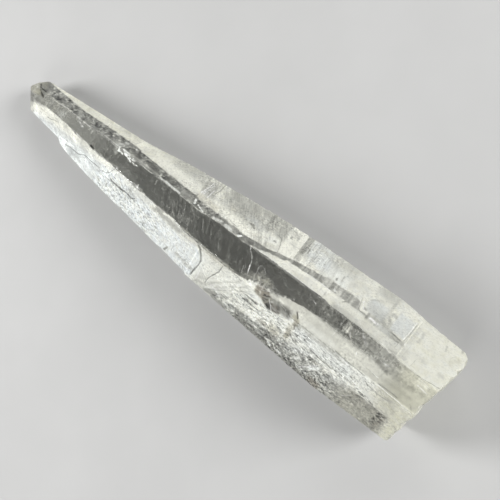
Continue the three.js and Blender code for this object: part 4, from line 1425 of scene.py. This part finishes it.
def frost_tone(n, grain_off, grit):
    """How bright the frost is, with its grains, pits, grooves, crumbs, flakes and fine lines."""
    pits = n.step(n.noise(0.34, 2), 0.44, 0.33)
    grooves = n.step(n.noise(0.34, 2, (0.24, 1, 1)), 0.50, 0.38)
    crumbs = n.step(n.noise(0.29, 2, (0.8, 1, 1)), 0.42, 0.58, -0.5, 0.5)
    flakes = n.step(n.noise(0.5, 3, (1, 1.4, 1.4)), 0.56, 0.66)
    tone = n.plus(n.attribute("tone"), 1.0, grain_off, grit)
    tone = n.plus(tone, -0.24, pits, grit)
    tone = n.plus(tone, -0.60, grooves, n.attribute("etch"))
    tone = n.plus(tone, 0.8, crumbs, n.attribute("crumble"))
    tone = n.plus(tone, 0.16, flakes, grit)
    for name, degrees, length, width in FINE_LINES:
        drawn = n.step(n.strokes(degrees, length, width), 0.36, 0.64, -0.5, 0.5)
        tone = n.plus(tone, 0.5, drawn, n.attribute(name))
    return tone


def frost_colour(n, tone, crack_and_shadow, line):
    blue = n.attribute("blue")
    colour = n.mix_colour(n.step(blue, 0.0, 1.0, kind="LINEAR"), CREAM, BLUE_WHITE)
    colour = n.mix_colour(n.step(blue, 0.0, -0.7, kind="LINEAR"), colour, WARM_CREAM)
    colour = n.mix_colour(n.attribute("brown"), colour, STAIN_BROWN)
    shade = n.node("CombineColor", {0: tone, 1: tone, 2: tone}).outputs[0]
    colour = n.mix_colour(1.0, colour, shade, "MULTIPLY")
    colour = n.mix_colour(crack_and_shadow, colour, CRACK_AND_SHADOW_GREY)
    return n.mix_colour(line, colour, LINE_WHITE)


def surface_bump(n, grain, grit):
    relief = n.math("MULTIPLY_ADD", n.noise(0.22, 2), 0.4, grain)
    strength = n.math("MULTIPLY", n.step(n.attribute("frost"), 0.1, 0.8, 0.08, 0.8), grit)
    strength = n.math("MULTIPLY", strength, 0.8, clamp=True)
    values = {"Strength": strength, "Distance": BUMP_DEPTH, "Height": relief}
    return n.node("Bump", values).outputs[0]


def quartz_material():
    """Smoky glass under a frosted skin, with the thin dark lines (cracks and painted ledge shadows)
    and the bright lines (some of them painted ridge highlights) drawn over both.
    """
    n = Nodes("quartz")
    grit = n.attribute("grit")
    grain = n.noise(0.42, 4)
    grain_off = n.math("SUBTRACT", grain, 0.5)
    crack_and_shadow = sharp_line(n, "crack_and_shadow", grain)
    line = sharp_line(n, "line", grain)
    tone = frost_tone(n, grain_off, grit)
    colour = frost_colour(n, tone, crack_and_shadow, line)
    bump = surface_bump(n, grain, grit)
    rough = n.step(n.attribute("frost"), 0.05, 0.7, 0.04, 0.35)
    rough = n.math("MULTIPLY_ADD", grain_off, 0.12, rough)
    glass = n.node("BsdfPrincipled", {
        "Base Color": CLEAR_WHITE, "Transmission Weight": 1.0, "IOR": QUARTZ_IOR,
        "Roughness": rough, "Normal": bump,
    }).outputs[0]
    shine = n.math("MULTIPLY", n.step(tone, 0.05, 0.55, 0.08, 0.5), n.math("SUBTRACT", 1.0, crack_and_shadow))
    skin = n.node("BsdfPrincipled", {
        "Base Color": colour, "IOR": QUARTZ_IOR, "Specular IOR Level": shine,
        "Roughness": n.step(grain, 0.3, 0.7, 0.22, 0.42), "Normal": bump,
    }).outputs[0]
    glow = n.node("BsdfTranslucent", {"Color": colour, "Normal": bump}).outputs[0]
    frosted = n.mix_shader(GLOW_SHARE, skin, glow)
    surface = n.mix_shader(frost_share(n, grain_off, crack_and_shadow, line), glass, frosted)
    smoke = {"Color": SMOKE_GREY, "Density": SMOKE_DENSITY}
    inside = n.node("VolumeAbsorption", smoke).outputs[0]
    n.node("OutputMaterial", {"Surface": surface, "Volume": inside})
    return n.material


FLOOR_DARK = (0.42, 0.42, 0.415, 1)
FLOOR_PALE = (0.44, 0.44, 0.435, 1)


def floor_material():
    n = Nodes("paper_floor")
    colour = n.mix_colour(n.step(n.noise(30, 3), 0.3, 0.7), FLOOR_DARK, FLOOR_PALE)
    shader = n.node("BsdfPrincipled", {"Base Color": colour, "Roughness": 0.8}).outputs[0]
    n.node("OutputMaterial", {"Surface": shader})
    return n.material


# ---- The crystal ----

def make_crystal():
    mesh, places, face_normals = fine_copy(NODE)
    surface = Surface(mesh, places, face_normals)
    patches = {
        "upper": Patch(surface, UPPER_FACES),
        "under": Patch(surface, ("under_plus", "under_minus")),
        "bottom": Patch(surface, ("bottom",)),
        "base": Patch(surface, ("base",)),
    }
    paint(surface, patches)
    add_relief(surface, patches)
    mesh = thinned_out(surface)
    crystal = new_object("crystal_body", mesh)
    crystal.vertex_groups.clear()
    mesh.materials.clear()
    mesh.materials.append(quartz_material())
    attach(crystal, "root")
    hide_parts(NODE)


make_crystal()

# ---- Floor, light and camera ----

scene = bpy.context.scene
FLOOR_HALF = 1.0
FLOOR_DROP = 0.05 * MM
# Soft lights: place and size in metres, and power in watts.
SOFTBOXES = {
    "left_key": ((-0.36, -0.24, 0.24), (0.18, 0.18), 2.9),
    "right_key": ((0.34, 0.27, 0.24), (0.18, 0.18), 2.5),
    "left_fill": ((0.15, -0.5, 0.3), (0.4, 0.3), 1.1),
    "right_fill": ((-0.15, 0.5, 0.3), (0.4, 0.3), 1.0),
}
LIGHTS_AIM = Vector((0, 0, 0.008))
WORLD_STRENGTH = 0.17


def make_floor():
    h = FLOOR_HALF
    corners = [(-h, -h), (h, -h), (h, h), (-h, h)]
    mesh = bpy.data.meshes.new("floor")
    mesh.from_pydata([(x, y, -FLOOR_DROP) for x, y in corners], [], [(0, 1, 2, 3)])
    mesh.materials.append(floor_material())
    new_object("floor", mesh)


def make_softbox(name, place, size, power):
    data = bpy.data.lights.new(name, "AREA")
    data.shape = "RECTANGLE"
    data.size, data.size_y = size
    data.energy = power
    light = new_object(name, data)
    light.location = place
    towards = LIGHTS_AIM - Vector(place)
    light.rotation_euler = towards.to_track_quat("-Z", "Y").to_euler()


def make_world():
    world = bpy.data.worlds.new("studio")
    world.use_nodes = True
    background = world.node_tree.nodes["Background"]
    background.inputs["Color"].default_value = (1, 1, 1, 1)
    background.inputs["Strength"].default_value = WORLD_STRENGTH
    scene.world = world


def make_camera():
    data = bpy.data.cameras.new("camera")
    data.sensor_width = SENSOR_MM
    data.lens = CAMERA_FOCAL_PX / IMAGE_SIDE * SENSOR_MM
    data.clip_start = 0.005
    camera = new_object("camera", data)
    turn = Matrix((CAMERA_RIGHT, CAMERA_UP, CAMERA_BACK)).transposed().to_4x4()
    camera.matrix_world = Matrix.Translation(Vector(CAMERA_EYE_MM) * MM) @ turn
    scene.camera = camera


make_floor()
for light_name, (place, size, power) in SOFTBOXES.items():
    make_softbox(light_name, place, size, power)
make_world()
make_camera()
scene.view_settings.view_transform = "Standard"
